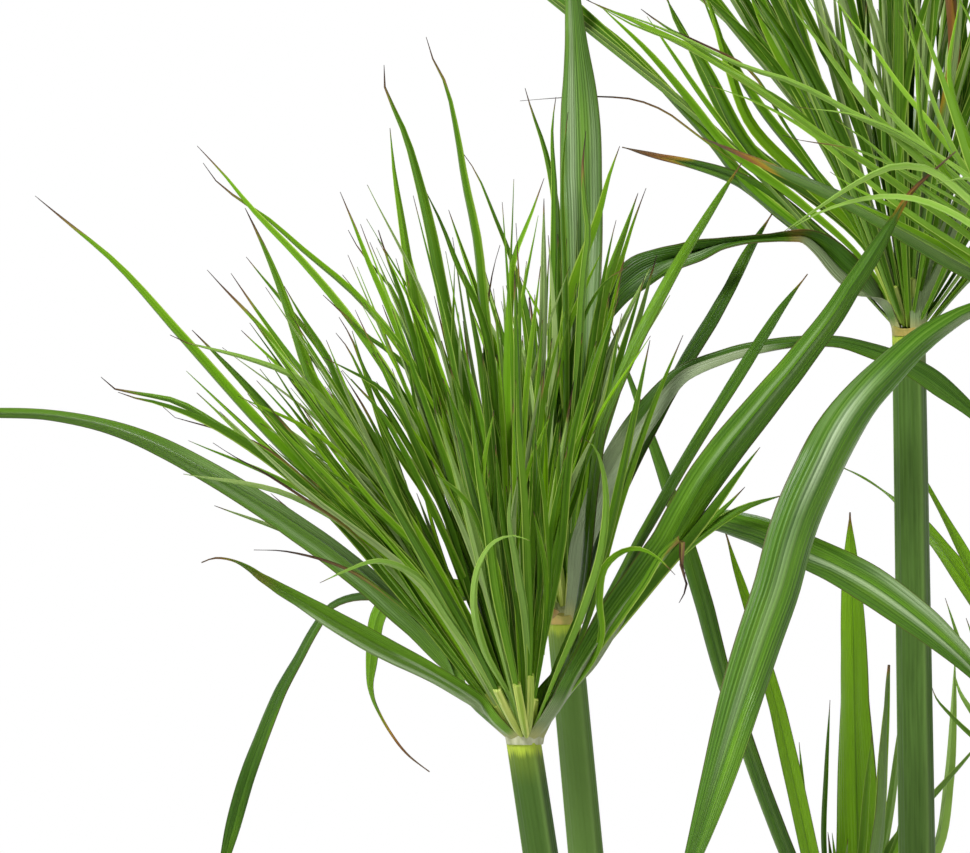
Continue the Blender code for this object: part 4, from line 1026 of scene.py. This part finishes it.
# Rays that stand out: pixels from near the root to the tip, depth of the tip behind the crown, width, dry share, pale
seenRays = {
    "a": [
        (((420, 590), (330, 500), (262, 430), (180, 338), (107, 257), (68, 224), (35, 196)), 0.005, 2.7, 0.16, 0),
        (((430, 590), (350, 500), (300, 447), (243, 382), (210, 348), (192, 330)), -0.020, 2.7, 0.10, 0),
        (((430, 570), (360, 450), (300, 380), (245, 358), (215, 350), (182, 341), (170, 335)), -0.035, 1.8, 0.10, 0.7),
        (((400, 590), (320, 500), (262, 452), (225, 430), (175, 401), (135, 393), (113, 388), (101, 377)), -0.045, 2.3, 0.14, 0),
        (((400, 590), (320, 498), (255, 447), (210, 421), (175, 407), (150, 400), (133, 397), (118, 392)), -0.047, 2.7, 0.08, 0),
        (((410, 590), (330, 505), (250, 441), (215, 429), (190, 422), (172, 416), (163, 407)), -0.030, 1.0, 0.45, 0),
        (((400, 590), (345, 527), (310, 503), (262, 472), (233, 456), (213, 443)), -0.060, 0.8, 0.6, 0),
        (((450, 600), (370, 450), (300, 373), (250, 317), (222, 287), (207, 270)), 0.020, 2.1, 0.22, 0),
        (((455, 600), (370, 440), (300, 366), (265, 320), (243, 290), (231, 273)), 0.015, 2.3, 0.16, 0),
        (((470, 600), (400, 400), (340, 310), (300, 262), (247, 205), (225, 177), (197, 146)), 0.030, 2.4, 0.10, 0),
        (((475, 600), (420, 380), (360, 300), (300, 248), (262, 215), (247, 205), (215, 180), (203, 163)), 0.035, 1.8, 0.2, 0),
        (((470, 645), (400, 530), (340, 435), (314, 387), (289, 314), (275, 275), (258, 235), (245, 208)), -0.015, 3.0, 0.12, 0),
        (((470, 640), (400, 520), (345, 406), (325, 356), (300, 315), (284, 286)), -0.018, 2.4, 0.05, 0),
        (((490, 640), (450, 500), (420, 400), (385, 305), (368, 265), (352, 222), (340, 192)), 0.010, 2.4, 0.14, 0),
        (((480, 600), (430, 400), (405, 330), (392, 290), (375, 270), (358, 248), (348, 230)), 0.012, 1.6, 0.14, 0),
        (((490, 640), (450, 480), (425, 390), (410, 330), (398, 290), (388, 262), (378, 230)), -0.010, 2.3, 0.16, 0),
        (((505, 650), (470, 520), (440, 400), (415, 300), (402, 220), (393, 160), (391, 138), (390, 128)), -0.005, 2.7, 0.03, 0),
        (((515, 650), (490, 500), (460, 380), (443, 300), (430, 230), (418, 180), (405, 135), (390, 100), (383, 80), (384, 65)), 0.0, 3.0, 0.12, 0),
        (((510, 640), (500, 450), (475, 300), (460, 270), (440, 220), (422, 184)), 0.005, 2.0, 0.04, 0),
        (((520, 660), (505, 500), (490, 380), (481, 300), (475, 240), (463, 180), (455, 130), (445, 85), (428, 47), (426, 37)), 0.008, 2.5, 0.16, 0),
        (((535, 660), (540, 450), (525, 300), (515, 265), (495, 215), (475, 170), (461, 150)), 0.020, 1.7, 0.10, 0),
        (((525, 660), (505, 450), (508, 300), (512, 260), (530, 215), (544, 178)), -0.008, 2.6, 0.10, 0),
        (((520, 650), (490, 450), (486, 320), (495, 262), (500, 245)), 0.010, 1.0, 0.3, 0),
        (((525, 650), (520, 400), (519, 280), (516, 223)), -0.012, 1.0, 0.25, 0),
        (((470, 600), (430, 500), (396, 448), (358, 367), (348, 348), (336, 333)), -0.030, 1.6, 0.14, 0),
        (((475, 600), (440, 500), (400, 430), (365, 370), (350, 335), (339, 317)), -0.028, 1.6, 0.18, 0),
        (((460, 600), (420, 520), (385, 450), (362, 405), (341, 371)), -0.040, 1.2, 0.3, 0),
        (((470, 600), (430, 510), (400, 448), (381, 415), (351, 379)), -0.038, 1.9, 0.14, 0),
        (((480, 620), (450, 520), (420, 450), (398, 406), (381, 387), (352, 371), (323, 357)), -0.035, 2.0, 0.08, 0),
        (((490, 620), (460, 480), (430, 400), (390, 352), (371, 339), (339, 310), (323, 295)), 0.018, 1.7, 0.16, 0),
        (((440, 640), (395, 600), (345, 568), (300, 554), (283, 551), (254, 550)), -0.070, 0.8, 0.6, 0),
        (((580, 670), (640, 590), (700, 520), (740, 470), (760, 447)), -0.030, 3.4, 0.05, 0),
        (((575, 670), (634, 592), (695, 535), (728, 505), (745, 487)), -0.012, 2.6, 0.10, 0),
        (((578, 665), (640, 592), (702, 535), (748, 507), (784, 495)), -0.012, 3.2, 0.05, 0),
        (((600, 640), (598, 600), (605, 567), (620, 554), (639, 550), (651, 554), (663, 563), (675, 575)), -0.050, 1.7, 0.10, 0),
        (((605, 635), (640, 585), (668, 545), (679, 538), (681, 551), (680, 564), (684, 577), (686, 587), (684, 594), (679, 603)),
         -0.045, 2.0, 0.36, 0),
        (((510, 700), (484, 650), (474, 600), (480, 565), (497, 541), (512, 536), (530, 541)), -0.070, 1.6, 0.03, 0.6),
        (((530, 690), (527, 620), (517, 560), (510, 520), (511, 485)), -0.068, 1.9, 0.04, 0.55),
        (((555, 680), (585, 610), (604, 540), (606, 489), (602, 466), (594, 447), (585, 439)), -0.060, 1.9, 0.04, 0.35),
        (((495, 690), (450, 620), (415, 575), (380, 562), (345, 572), (320, 583)), -0.074, 1.7, 0.06, 0.6),
        (((513, 722), (497, 689), (478, 650), (450, 600), (418, 545), (392, 500), (360, 440)), -0.074, 2.2, 0.04, 0),
        (((525, 728), (517, 684), (508, 640), (498, 590), (490, 530), (478, 460), (470, 400)), -0.082, 2.3, 0.04, 0),
        (((530, 718), (531, 675), (532, 630), (530, 570), (527, 500), (520, 430), (516, 380)), -0.078, 2.1, 0.04, 0),
        (((560, 655), (585, 600), (606, 540), (620, 480), (635, 410), (650, 340)), 0.005, 2.0, 0.10, 0),
        (((575, 650), (620, 500), (655, 400), (683, 335)), 0.010, 1.8, 0.12, 0),
        (((543, 640), (551, 560), (563, 480), (598, 350), (620, 295)), 0.0, 2.2, 0.08, 0),
    ],
    "b": [
        (((560, 500), (556, 400), (555, 300), (555, 190), (553, 120), (556, 97)), -0.010, 2.1, 0.05, 0),
        (((557, 480), (552, 350), (555, 200), (545, 150), (530, 105), (525, 88)), -0.005, 2.2, 0.12, 0),
        (((570, 500), (577, 400), (586, 260), (589, 235), (585, 199), (583, 167), (586, 131)), -0.028, 1.9, 0.22, 0.2),
        (((565, 500), (565, 300), (563, 157), (568, 112)), -0.024, 1.5, 0.08, 0),
        (((575, 500), (576, 288), (599, 222), (612, 170), (620, 146)), -0.012, 3.2, 0.05, 0),
        (((585, 480), (604, 300), (620, 261), (633, 222), (646, 188)), -0.006, 1.7, 0.16, 0),
        (((580, 480), (607, 282), (625, 230), (638, 193)), -0.010, 2.9, 0.06, 0),
        (((578, 470), (600, 290), (612, 235), (616, 220)), -0.012, 1.7, 0.1, 0),
        (((572, 450), (580, 330), (612, 277), (633, 264)), -0.014, 1.6, 0.12, 0),
    ],
    "c": [
        (((865, 275), (795, 226), (743, 183), (706, 136), (672, 99), (625, 47), (581, 8)), 0.020, 3.0, 0.06, 0),
        (((862, 262), (800, 206), (722, 146), (685, 99), (646, 52), (599, 5)), 0.010, 2.6, 0.06, 0),
        (((875, 265), (848, 200), (821, 141), (769, 99), (706, 58), (638, 24), (586, 0)), -0.020, 2.2, 0.1, 0.2),
        (((880, 265), (860, 180), (787, 105), (733, 73), (691, 42), (665, 26), (641, 9)), -0.025, 1.8, 0.12, 0.1),
        (((862, 270), (780, 200), (691, 131), (665, 112), (638, 101), (599, 97), (560, 98), (520, 101)), 0.020, 0.7, 0.6, 0),
        (((865, 245), (800, 185), (743, 140), (706, 78), (685, 34), (664, -6)), 0.025, 3.0, 0.05, 0),
        (((872, 250), (805, 180), (748, 118), (730, 70), (708, 0), (700, -20)), 0.006, 2.6, 0.06, 0),
        (((880, 250), (850, 180), (800, 90), (762, 20), (745, -20)), -0.006, 2.7, 0.06, 0),
        (((888, 250), (862, 150), (830, 60), (812, -15)), -0.012, 2.8, 0.05, 0),
        (((897, 250), (890, 140), (882, 50), (878, -25)), -0.004, 2.6, 0.05, 0),
        (((915, 280), (930, 200), (948, 110), (956, 50), (952, 0), (942, -60), (930, -120)), -0.02, 3.0, 0.68, 0),
        (((880, 260), (820, 200), (760, 160), (700, 58), (675, 20), (665, -8)), 0.015, 2.9, 0.05, 0),
        (((870, 245), (800, 160), (760, 110), (722, 45), (700, -8)), 0.012, 2.6, 0.05, 0),
        (((868, 250), (790, 130), (745, 65), (700, 42), (655, 20), (641, 9)), -0.01, 0.9, 0.5, 0),
    ],
    "d": [
        (((1130, 370), (1040, 300), (970, 268), (900, 228), (835, 193), (795, 176), (743, 154), (718, 144), (701, 137)), 0.010, 3.9, 0.28, 0),
        (((1110, 350), (1040, 300), (970, 236), (900, 186), (860, 158), (830, 140), (780, 104), (745, 80), (710, 60), (680, 42), (640, 28), (588, 0)), -0.012, 1.5, 0.03, 0.3),
        (((1110, 340), (1040, 262), (970, 190), (910, 141), (850, 112), (820, 95), (790, 81), (745, 67), (720, 56), (690, 41), (640, 20), (600, 7)), -0.010, 1.4, 0.03, 0.6),
        (((1105, 350), (1040, 290), (970, 250), (900, 204), (850, 164), (820, 138), (790, 118), (765, 105), (745, 97), (708, 85)), -0.014, 1.5, 0.04, 0.2),
        (((1110, 330), (1040, 240), (970, 200), (900, 140), (870, 110), (840, 70), (820, 43), (800, 18), (782, -8)), -0.004, 1.9, 0.03, 0.5),
        (((1110, 330), (1040, 240), (970, 192), (925, 150), (880, 100), (860, 70), (840, 45), (825, 25), (803, -8)), -0.008, 1.6, 0.03, 0.7),
        (((1110, 330), (1030, 230), (965, 170), (925, 120), (897, 85), (870, 45), (850, 20), (830, -8)), -0.002, 1.7, 0.03, 0.3),
        (((1105, 330), (1030, 230), (978, 175), (962, 130), (945, 80), (935, 55), (925, 30), (903, -8)), -0.016, 2.3, 0.02, 0.2),
        (((1090, 330), (1010, 240), (940, 165), (922, 125), (918, 90), (916, 50), (908, 15), (905, -8)), -0.010, 1.4, 0.02, 0.1),
        (((1100, 330), (1020, 230), (970, 180), (945, 135), (930, 95), (915, 50), (898, 10)), -0.014, 1.6, 0.02, 0.5),
        (((1100, 330), (1020, 220), (960, 170), (920, 145), (890, 128), (865, 119), (845, 113), (820, 110), (797, 107)), -0.018, 1.1, 0.05, 0.6),
        (((1100, 340), (1020, 240), (950, 195), (900, 168), (870, 154), (850, 147), (820, 143), (800, 140), (783, 135)), -0.016, 1.0, 0.25, 0.4),
        (((1100, 330), (1020, 230), (950, 165), (930, 150), (912, 132), (900, 120), (886, 110)), -0.020, 1.1, 0.04, 0.6),
        (((1110, 350), (1040, 300), (960, 258), (900, 226), (860, 206), (835, 195)), 0.0, 2.4, 0.03, 0.1),
        (((1110, 360), (1050, 310), (980, 270), (940, 240), (900, 212), (860, 192), (830, 172)), -0.006, 1.9, 0.03, 0.2),
        (((1105, 345), (1030, 270), (960, 216), (900, 172), (865, 140), (835, 120)), -0.012, 1.6, 0.03, 0.4),
        (((1100, 330), (1025, 230), (975, 150), (958, 110), (950, 70), (955, 30), (962, -8)), 0.0, 2.0, 0.03, 0.1),
        (((1110, 330), (1040, 200), (1000, 120), (985, 60), (970, 20), (955, -8)), 0.0, 2.4, 0.03, 0.2),
        (((1110, 360), (1040, 290), (1000, 230), (960, 188), (930, 168), (895, 165), (860, 180), (820, 206), (783, 232)), -0.030, 1.9, 0.02, 0.9),
        (((1115, 360), (1050, 300), (1000, 250), (960, 220), (920, 202), (880, 198), (850, 203), (820, 213), (787, 231)), -0.026, 1.8, 0.02, 0.9),
        (((1110, 330), (1060, 240), (1010, 195), (970, 178), (935, 184)), -0.030, 1.5, 0.02, 0.95),
    ],
    "f": [
        (((1050, 780), (1000, 720), (965, 660), (945, 598)), 0.010, 1.8, 0.08, 0.4),
        (((1060, 780), (1020, 720), (985, 670), (966, 618)), 0.0, 1.8, 0.08, 0.4),
        (((1060, 790), (1010, 760), (975, 740), (950, 716), (935, 697), (931, 685)), -0.02, 1.6, 0.12, 0.2),
        (((1040, 800), (1005, 770), (975, 720), (958, 690), (954, 672)), 0.03, 2.2, 0.02, 0.9),
    ],
    "g": [
        (((850, 940), (876, 850), (884, 750), (890, 665)), -0.01, 2.6, 0.05, 0),
        (((838, 940), (824, 853), (826, 770), (830, 700)), 0.01, 1.3, 0.1, 0),
        (((856, 940), (895, 900), (935, 850), (948, 780), (953, 710), (955, 655)), 0.04, 2.6, 0.02, 0.95),
        (((856, 935), (872, 880), (905, 830), (940, 790), (970, 755), (985, 735)), 0.03, 2.0, 0.03, 0.5),
        (((853, 935), (878, 870), (892, 800), (899, 740), (903, 700)), 0.03, 2.2, 0.03, 0.8),
        (((856, 935), (880, 880), (898, 840), (906, 790), (910, 745)), 0.01, 2.0, 0.03, 0.1),
        (((842, 935), (812, 880), (803, 820), (801, 780), (799, 742)), -0.01, 1.8, 0.05, 0.1),
        (((846, 940), (862, 853), (866, 800), (872, 735)), 0.0, 2.0, 0.08, 0),
    ],
}


# Pale sleeves round the feet of some of those rays: number of the ray, how far up to its second pixel, radius
seenSleeves = {"a": ((40, 1.0, 0.00110), (41, 1.0, 0.00108), (42, 1.0, 0.00088)), "c": ((2, 0.5, 0.0008),)}
seenTone = {"a": (0.0, 0.8), "d": (0.7, 1.0)}


def layBlade(line, width, rng, dry=0.08, pale=0.0, paintedSheen=0.0, roll=None, startShare=0.34, template=rayTemplate,
             tone=None, tipPower=2.2):
    fine = np.linspace(0, 1, 61)
    path = smoothLine(line, fine)
    heading = unit(np.gradient(path, axis=0))
    across, t, up = template["points"].T
    place = np.stack([np.interp(t, fine, path[:, k]) for k in range(3)], axis=1)
    along = unit(np.stack([np.interp(t, fine, heading[:, k]) for k in range(3)], axis=1))
    mean = unit(path[-1] - path[0])
    flat = np.array([mean[0], mean[1], 0.0])
    flat = unit(flat) if np.linalg.norm(flat) > 0.08 else unit(np.append(rng.normal(size=2), 0))
    level = np.cross(flat, (0, 0, 1))
    roll = rng.normal(0, 0.6) if roll is None else roll
    level = level * math.cos(roll) + np.cross(mean, level) * math.sin(roll)
    side = unit(level - along * (along @ level)[:, None])
    face = np.cross(side, along)
    rise = mix(startShare, 1.0, smoothStep(t / 0.5))
    past = np.clip((t - 0.42) / 0.58, 0, 1)
    half = np.maximum(width * rise * (1 - past ** tipPower), rayShape["hair"]) / 2
    lift = rayShape["fold"] * np.abs(across) * half * 2 + up * rayShape["keel"] * np.minimum(half / 0.0009, 1)
    points = place + side * (across * half)[:, None] + face * lift[:, None]
    return {"points": points, "faces": template["faces"], "map": np.stack([across / 2 + 0.5, t], axis=1),
            "under": (up < -0.1) * 1.0, "tone": rng.uniform(0, 1) if tone is None else tone, "dry": dry, "pale": pale,
            "scar": 0.0, "paintedSheen": paintedSheen, "finish": 3 if dry > 0.45 or width > 0.004 else 0}


def layTube(line, radii, rng, finish=1):
    x, t, z = stalkTemplate["points"].T
    path = smoothLine(line, np.clip(t, 0, 1))
    along = unit(line[-1] - line[0])
    side = unit(np.cross(along, (0.13, 0.31, 0.94) if abs(along[2]) < 0.97 else (1.0, 0.2, 0.0)))
    face = np.cross(side, along)
    radius = np.interp(t, np.linspace(0, 1, len(radii)), radii)
    points = path + side * (x * radius)[:, None] + face * (z * radius)[:, None]
    return {"points": points, "faces": stalkTemplate["faces"],
            "map": np.stack([np.arctan2(z, x) / 6.283 + 0.5, t * 0.4 + rng.uniform(0, 3)], axis=1),
            "under": 0.0, "tone": rng.uniform(0, 1), "dry": 0.0, "pale": 0.0, "scar": 0.0, "paintedSheen": 0.0,
            "finish": finish}


# Blades that split off a ray part way up and lean away from it
def splitOff(parts, line, width, rng, count, spreadNow, tones):
    for _ in range(count):
        at = rng.uniform(0.22, 0.55)
        start, ahead = smoothLine(line, np.array([at, min(at + 0.08, 1.0)]))
        heading = unit(ahead - start)
        away = unit(np.cross(heading, rng.normal(size=3))) * math.tan(math.radians(rng.uniform(0.4, 1.0) * spreadNow))
        total = np.linalg.norm(np.diff(line, axis=0), axis=1).sum()
        reach = total * rng.uniform(0.38, 0.62)
        tip = start + unit(heading + away) * reach + (0, 0, -0.08 * reach * rng.uniform(0, 1))
        middle = start + unit(heading + away * 0.55) * reach * 0.5
        # some side blades get a painted sheen
        parts.append(layBlade(np.array([start, middle, tip]), width * rng.uniform(0.5, 0.8), rng,
                              rng.uniform(0.0, 0.06), startShare=0.35, paintedSheen=rng.choice((0.0, 0.0, 0.4)), tone=rng.uniform(*tones)))


def crownPoint(head, direction, rng):  # where a ray leaves the small dome on top of the stem
    flat = np.array([direction[0], direction[1]])
    spread = min(1.0, np.linalg.norm(flat) / 0.7)
    flat = unit(flat) * spread * rayShape["crownRadius"] + rng.normal(0, 0.0004, 2)
    return np.array(head["top"]) + (flat[0], flat[1], 0.0013 + 0.0042 * (1 - spread ** 2))


def facing(line, rng):  # a roll that shows a ray's broad side to the front, more or less
    mean = unit(line[-1] - line[0])
    flat = unit(np.array([mean[0], mean[1], 0.0]))
    level = np.cross(flat, (0, 0, 1))
    across = unit(np.cross(mean, (0, 1, 0)))
    return math.atan2(across @ np.cross(mean, level), across @ level) + rng.normal(0, 0.5)


def isClear(key, line):
    flat = toView(smoothLine(line, np.linspace(0, 1, 40)))
    return not any(np.any((flat[:, 0] > x0) & (flat[:, 0] < x1) & (flat[:, 1] > y0) & (flat[:, 1] < y1))
                   for x0, y0, x1, y1 in clearPlaces.get(key, ()))


def rayLine(head, fan, direction, rng):  # a ray's way up from the crown, a little bent and sagging
    root = crownPoint(head, direction, rng)
    length = rng.uniform(*fan["length"])
    sag = rng.uniform(0.01, 0.09) * length
    knee = root + unit(direction + (0, 0, 0.10)) * length * 0.4
    bend = unit(np.cross(direction, rng.normal(size=3))) * length * rng.uniform(0.0, 0.07)
    tip = root + direction * length - (0, 0, sag) + bend
    return np.array([root, knee, knee + (tip - knee) * 0.5 + bend * 0.4 + (0, 0, 0.12 * sag), tip])


def fillFan(parts, key, head, fan, rng):
    lean = np.array([math.sin(math.radians(fan["lean"][0])), math.sin(math.radians(fan["lean"][1])), 0])
    for i in range(fan["count"]):
        for attempt in range(12):
            turn = i * 2.39996 + rng.uniform(-0.25, 0.25) * (1 + attempt)
            spread = math.radians(fan["outer"]) * math.sqrt((i + 0.5) / fan["count"]) * rng.uniform(0.8, 1.07)
            direction = np.array([math.sin(spread) * math.cos(turn), math.sin(spread) * math.sin(turn), math.cos(spread)])
            direction = unit(direction + lean)
            line = rayLine(head, fan, direction, rng)
            if isClear(key, line):
                break
        else:
            continue
        root = line[0]
        width = rng.uniform(*fan["width"])
        # every third ray gets a random share of painted sheen
        parts.append(layBlade(line, width, rng, rng.uniform(0.0, 0.05) + 0.06 * (i % 5 == 1), tone=rng.uniform(*fan.get("tone", (0, 1))),
                              paintedSheen=0.5 * (i % 3 == 0) * rng.uniform(0, 1)))
        splitOff(parts, line, width, rng, fan["sides"], 12, fan.get("tone", (0, 1)))
        if i % 5 == 0:
            sleeve = root + direction * rng.uniform(0.007, 0.012)
            parts.append(layTube(np.array([root - direction * 0.001, (root + sleeve) / 2, sleeve]),
                                 (0.0007, 0.0009, 0.0010, 0.0008), rng))


def growRays(key, head, fans):
    rng = np.random.default_rng(40 + ord(key))
    parts = []
    for fan in fans:
        fillFan(parts, key, head, fan, rng)
    sleeves = {index: (reach, radius) for index, reach, radius in seenSleeves.get(key, ())}
    for index, (pixels, depth, width, dry, pale) in enumerate(seenRays.get(key, ())):
        far = np.array(pixels, dtype=float)
        crown = head["top"][1]
        steps = np.linalg.norm(np.diff(far, axis=0), axis=1)
        shares = (np.concatenate([[0], np.cumsum(steps)]) + 60) / (steps.sum() + 60)
        line = [fromView(pixel, crown + depth * share ** 0.9) for pixel, share in zip(far, shares)]
        root = crownPoint(head, unit(line[0] - np.array(head["top"])), rng)
        line = np.array([root] + line)
        # a fifth of a seen ray's paleness is laid on again as painted sheen
        parts.append(layBlade(line, width * 1.15 / 1000, rng, dry * (0.7 if dry > 0.3 else 0.45),
                              pale * (0.8 if pale > 0.55 else 0.35), pale * 0.2, facing(line, rng),
                              template=seenTemplate, tone=0.5 if width > 3.5 else rng.uniform(*seenTone.get(key, (0, 1))), tipPower=2.8))
        if index in sleeves:
            reach, radius = sleeves[index]
            steps = np.linalg.norm(np.diff(line, axis=0), axis=1)
            foot = smoothLine(line, np.linspace(0, steps[:2].sum() / steps.sum() * reach, 4))
            parts.append(layTube(foot, (radius * 0.35, radius * 0.9, radius * 1.05, radius), rng))
    made = buildMesh("fan_" + key, parts, [rayFinish, prophyllCream, sheathBrown, bractFinish], bladeAttributes)
    finishPiece(made, ["rays_" + key], 25)
    print("rays", key, sum(len(face) - 2 for part in parts for face in part["faces"]))


for key, fans in rayFans.items():
    growRays(key, heads[key], fans)


# clay pot, shaped from one cylinder: widen, rim, hollow, round off
def isTopFace(face, height):
    return face.normal.z > 0.9 and abs(face.center.z - height) < 0.0005


rimFoot = potSize["height"] - potSize["rimHeight"]
wallAtRim = mix(potSize["baseRadius"], potSize["mouthRadius"], rimFoot / potSize["height"])
rimRadius = potSize["mouthRadius"] + potSize["rimOverhang"]
deselectAll()
bpy.ops.mesh.primitive_cylinder_add(vertices=128, radius=potSize["baseRadius"], depth=rimFoot, location=(0, 0, rimFoot / 2))
pot = bpy.context.object
pot.name = "clayPot"
applyPlace(pot)
pickParts(pot, "FACE", lambda face: isTopFace(face, rimFoot))
bpy.ops.transform.resize(value=(wallAtRim / potSize["baseRadius"],) * 2 + (1,), center_override=(0, 0, rimFoot))
bpy.ops.mesh.extrude_region_move(TRANSFORM_OT_translate={"value": (0, 0, 0)})
bpy.ops.transform.resize(value=(rimRadius / wallAtRim,) * 2 + (1,), center_override=(0, 0, rimFoot))
bpy.ops.mesh.extrude_region_move(TRANSFORM_OT_translate={"value": (0, 0, potSize["rimHeight"])})
bpy.ops.mesh.inset(thickness=rimRadius - potInside(potSize["height"]))
bpy.ops.mesh.extrude_region_move(TRANSFORM_OT_translate={"value": (0, 0, potSize["floor"] - potSize["height"])})
inside = potInside(potSize["floor"]) / potInside(potSize["height"])
bpy.ops.transform.resize(value=(inside, inside, 1), center_override=(0, 0, potSize["floor"]))
bpy.ops.object.mode_set(mode="OBJECT")
rounding = pot.modifiers.new("rounding", "BEVEL")
rounding.width = 0.0026
rounding.segments = 4
rounding.limit_method = "ANGLE"
rounding.angle_limit = math.radians(30)
applyModifiers(pot)
pot.data.materials.append(clayRed)
finishPiece(pot, ["pot"], 40)
print("pot")


# potting soil: a lumpy round cake with crumbs, bark and white grit lying on it
soilShape = {"grid": 110, "lump": 0.0034, "crumb": 0.0016, "depth": 0.03}
edge = potInside(potSize["soilLevel"]) - 0.0005
deselectAll()
bpy.ops.mesh.primitive_grid_add(x_subdivisions=soilShape["grid"], y_subdivisions=soilShape["grid"], size=2)
soilCake = bpy.context.object
soilCake.name = "soilCake"
for vert in soilCake.data.vertices:  # square grid to round cake
    x, y = vert.co.x, vert.co.y
    vert.co.x, vert.co.y = x * math.sqrt(1 - y * y / 2) * edge, y * math.sqrt(1 - x * x / 2) * edge
    place = Vector((vert.co.x, vert.co.y, 0))
    rough = soilShape["lump"] * noise.fractal(place * 60, 0.9, 2.1, 4) + soilShape["crumb"] * noise.noise(place * 420)
    vert.co.z = soilHeight(vert.co.x, vert.co.y) + rough - 0.0012
bpy.ops.object.mode_set(mode="EDIT")
bpy.ops.mesh.select_all(action="SELECT")
bpy.ops.mesh.select_mode(type="EDGE")
bpy.ops.mesh.region_to_loop()
bpy.ops.mesh.extrude_region_move(TRANSFORM_OT_translate={"value": (0, 0, -soilShape["depth"])})
bpy.ops.mesh.edge_face_add()
bpy.ops.mesh.select_all(action="SELECT")
bpy.ops.mesh.normals_make_consistent(inside=False)
bpy.ops.object.mode_set(mode="OBJECT")
soilCake.data.materials.append(soilDark)
finishPiece(soilCake, ["soil"], 60)

crumbKinds = (("barkChips", barkBrown, 420, (0.0012, 0.0052), (1.0, 0.55, 0.28)),
              ("soilCrumbs", soilDark, 900, (0.0008, 0.0024), (1.0, 0.85, 0.7)),
              ("whiteGrit", perliteWhite, 150, (0.0007, 0.0017), (1.0, 0.9, 0.8)))
deselectAll()
bpy.ops.mesh.primitive_ico_sphere_add(subdivisions=1, radius=1)
grain = readTemplate(bpy.context.object)
for seed, (name, finish, count, sizes, squeeze) in enumerate(crumbKinds):
    rng = np.random.default_rng(90 + seed)
    parts = []
    while len(parts) < count:
        away, turn = (edge - 0.004) * math.sqrt(rng.uniform()), rng.uniform(0, 2 * math.pi)
        x, y = away * math.cos(turn), away * math.sin(turn)
        if min(math.hypot(x - head["foot"][0], y - head["foot"][1]) for head in heads.values()) < 0.011:
            continue
        size = sizes[0] + (sizes[1] - sizes[0]) * rng.uniform() ** 2.2
        points = grain["points"] * (1 + rng.normal(0, 0.16, (len(grain["points"]), 1))) * squeeze * size
        spin, tip = rng.uniform(0, 6.3), rng.normal(0, 0.35)
        turned = np.stack([points[:, 0] * math.cos(spin) - points[:, 1] * math.sin(spin),
                           points[:, 0] * math.sin(spin) + points[:, 1] * math.cos(spin),
                           points[:, 2] + points[:, 0] * tip], axis=1)
        place = Vector((x, y, 0))
        ground = soilHeight(x, y) + soilShape["lump"] * noise.fractal(place * 60, 0.9, 2.1, 4) - 0.0012
        parts.append({"points": turned + (x, y, ground + size * squeeze[2] * 0.35), "faces": grain["faces"],
                      "map": np.zeros((len(points), 2)), "tone": rng.uniform()})
    made = buildMesh(name, parts, [finish], ("tone",))
    finishPiece(made, (), 40)
print("soil")

low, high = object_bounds()
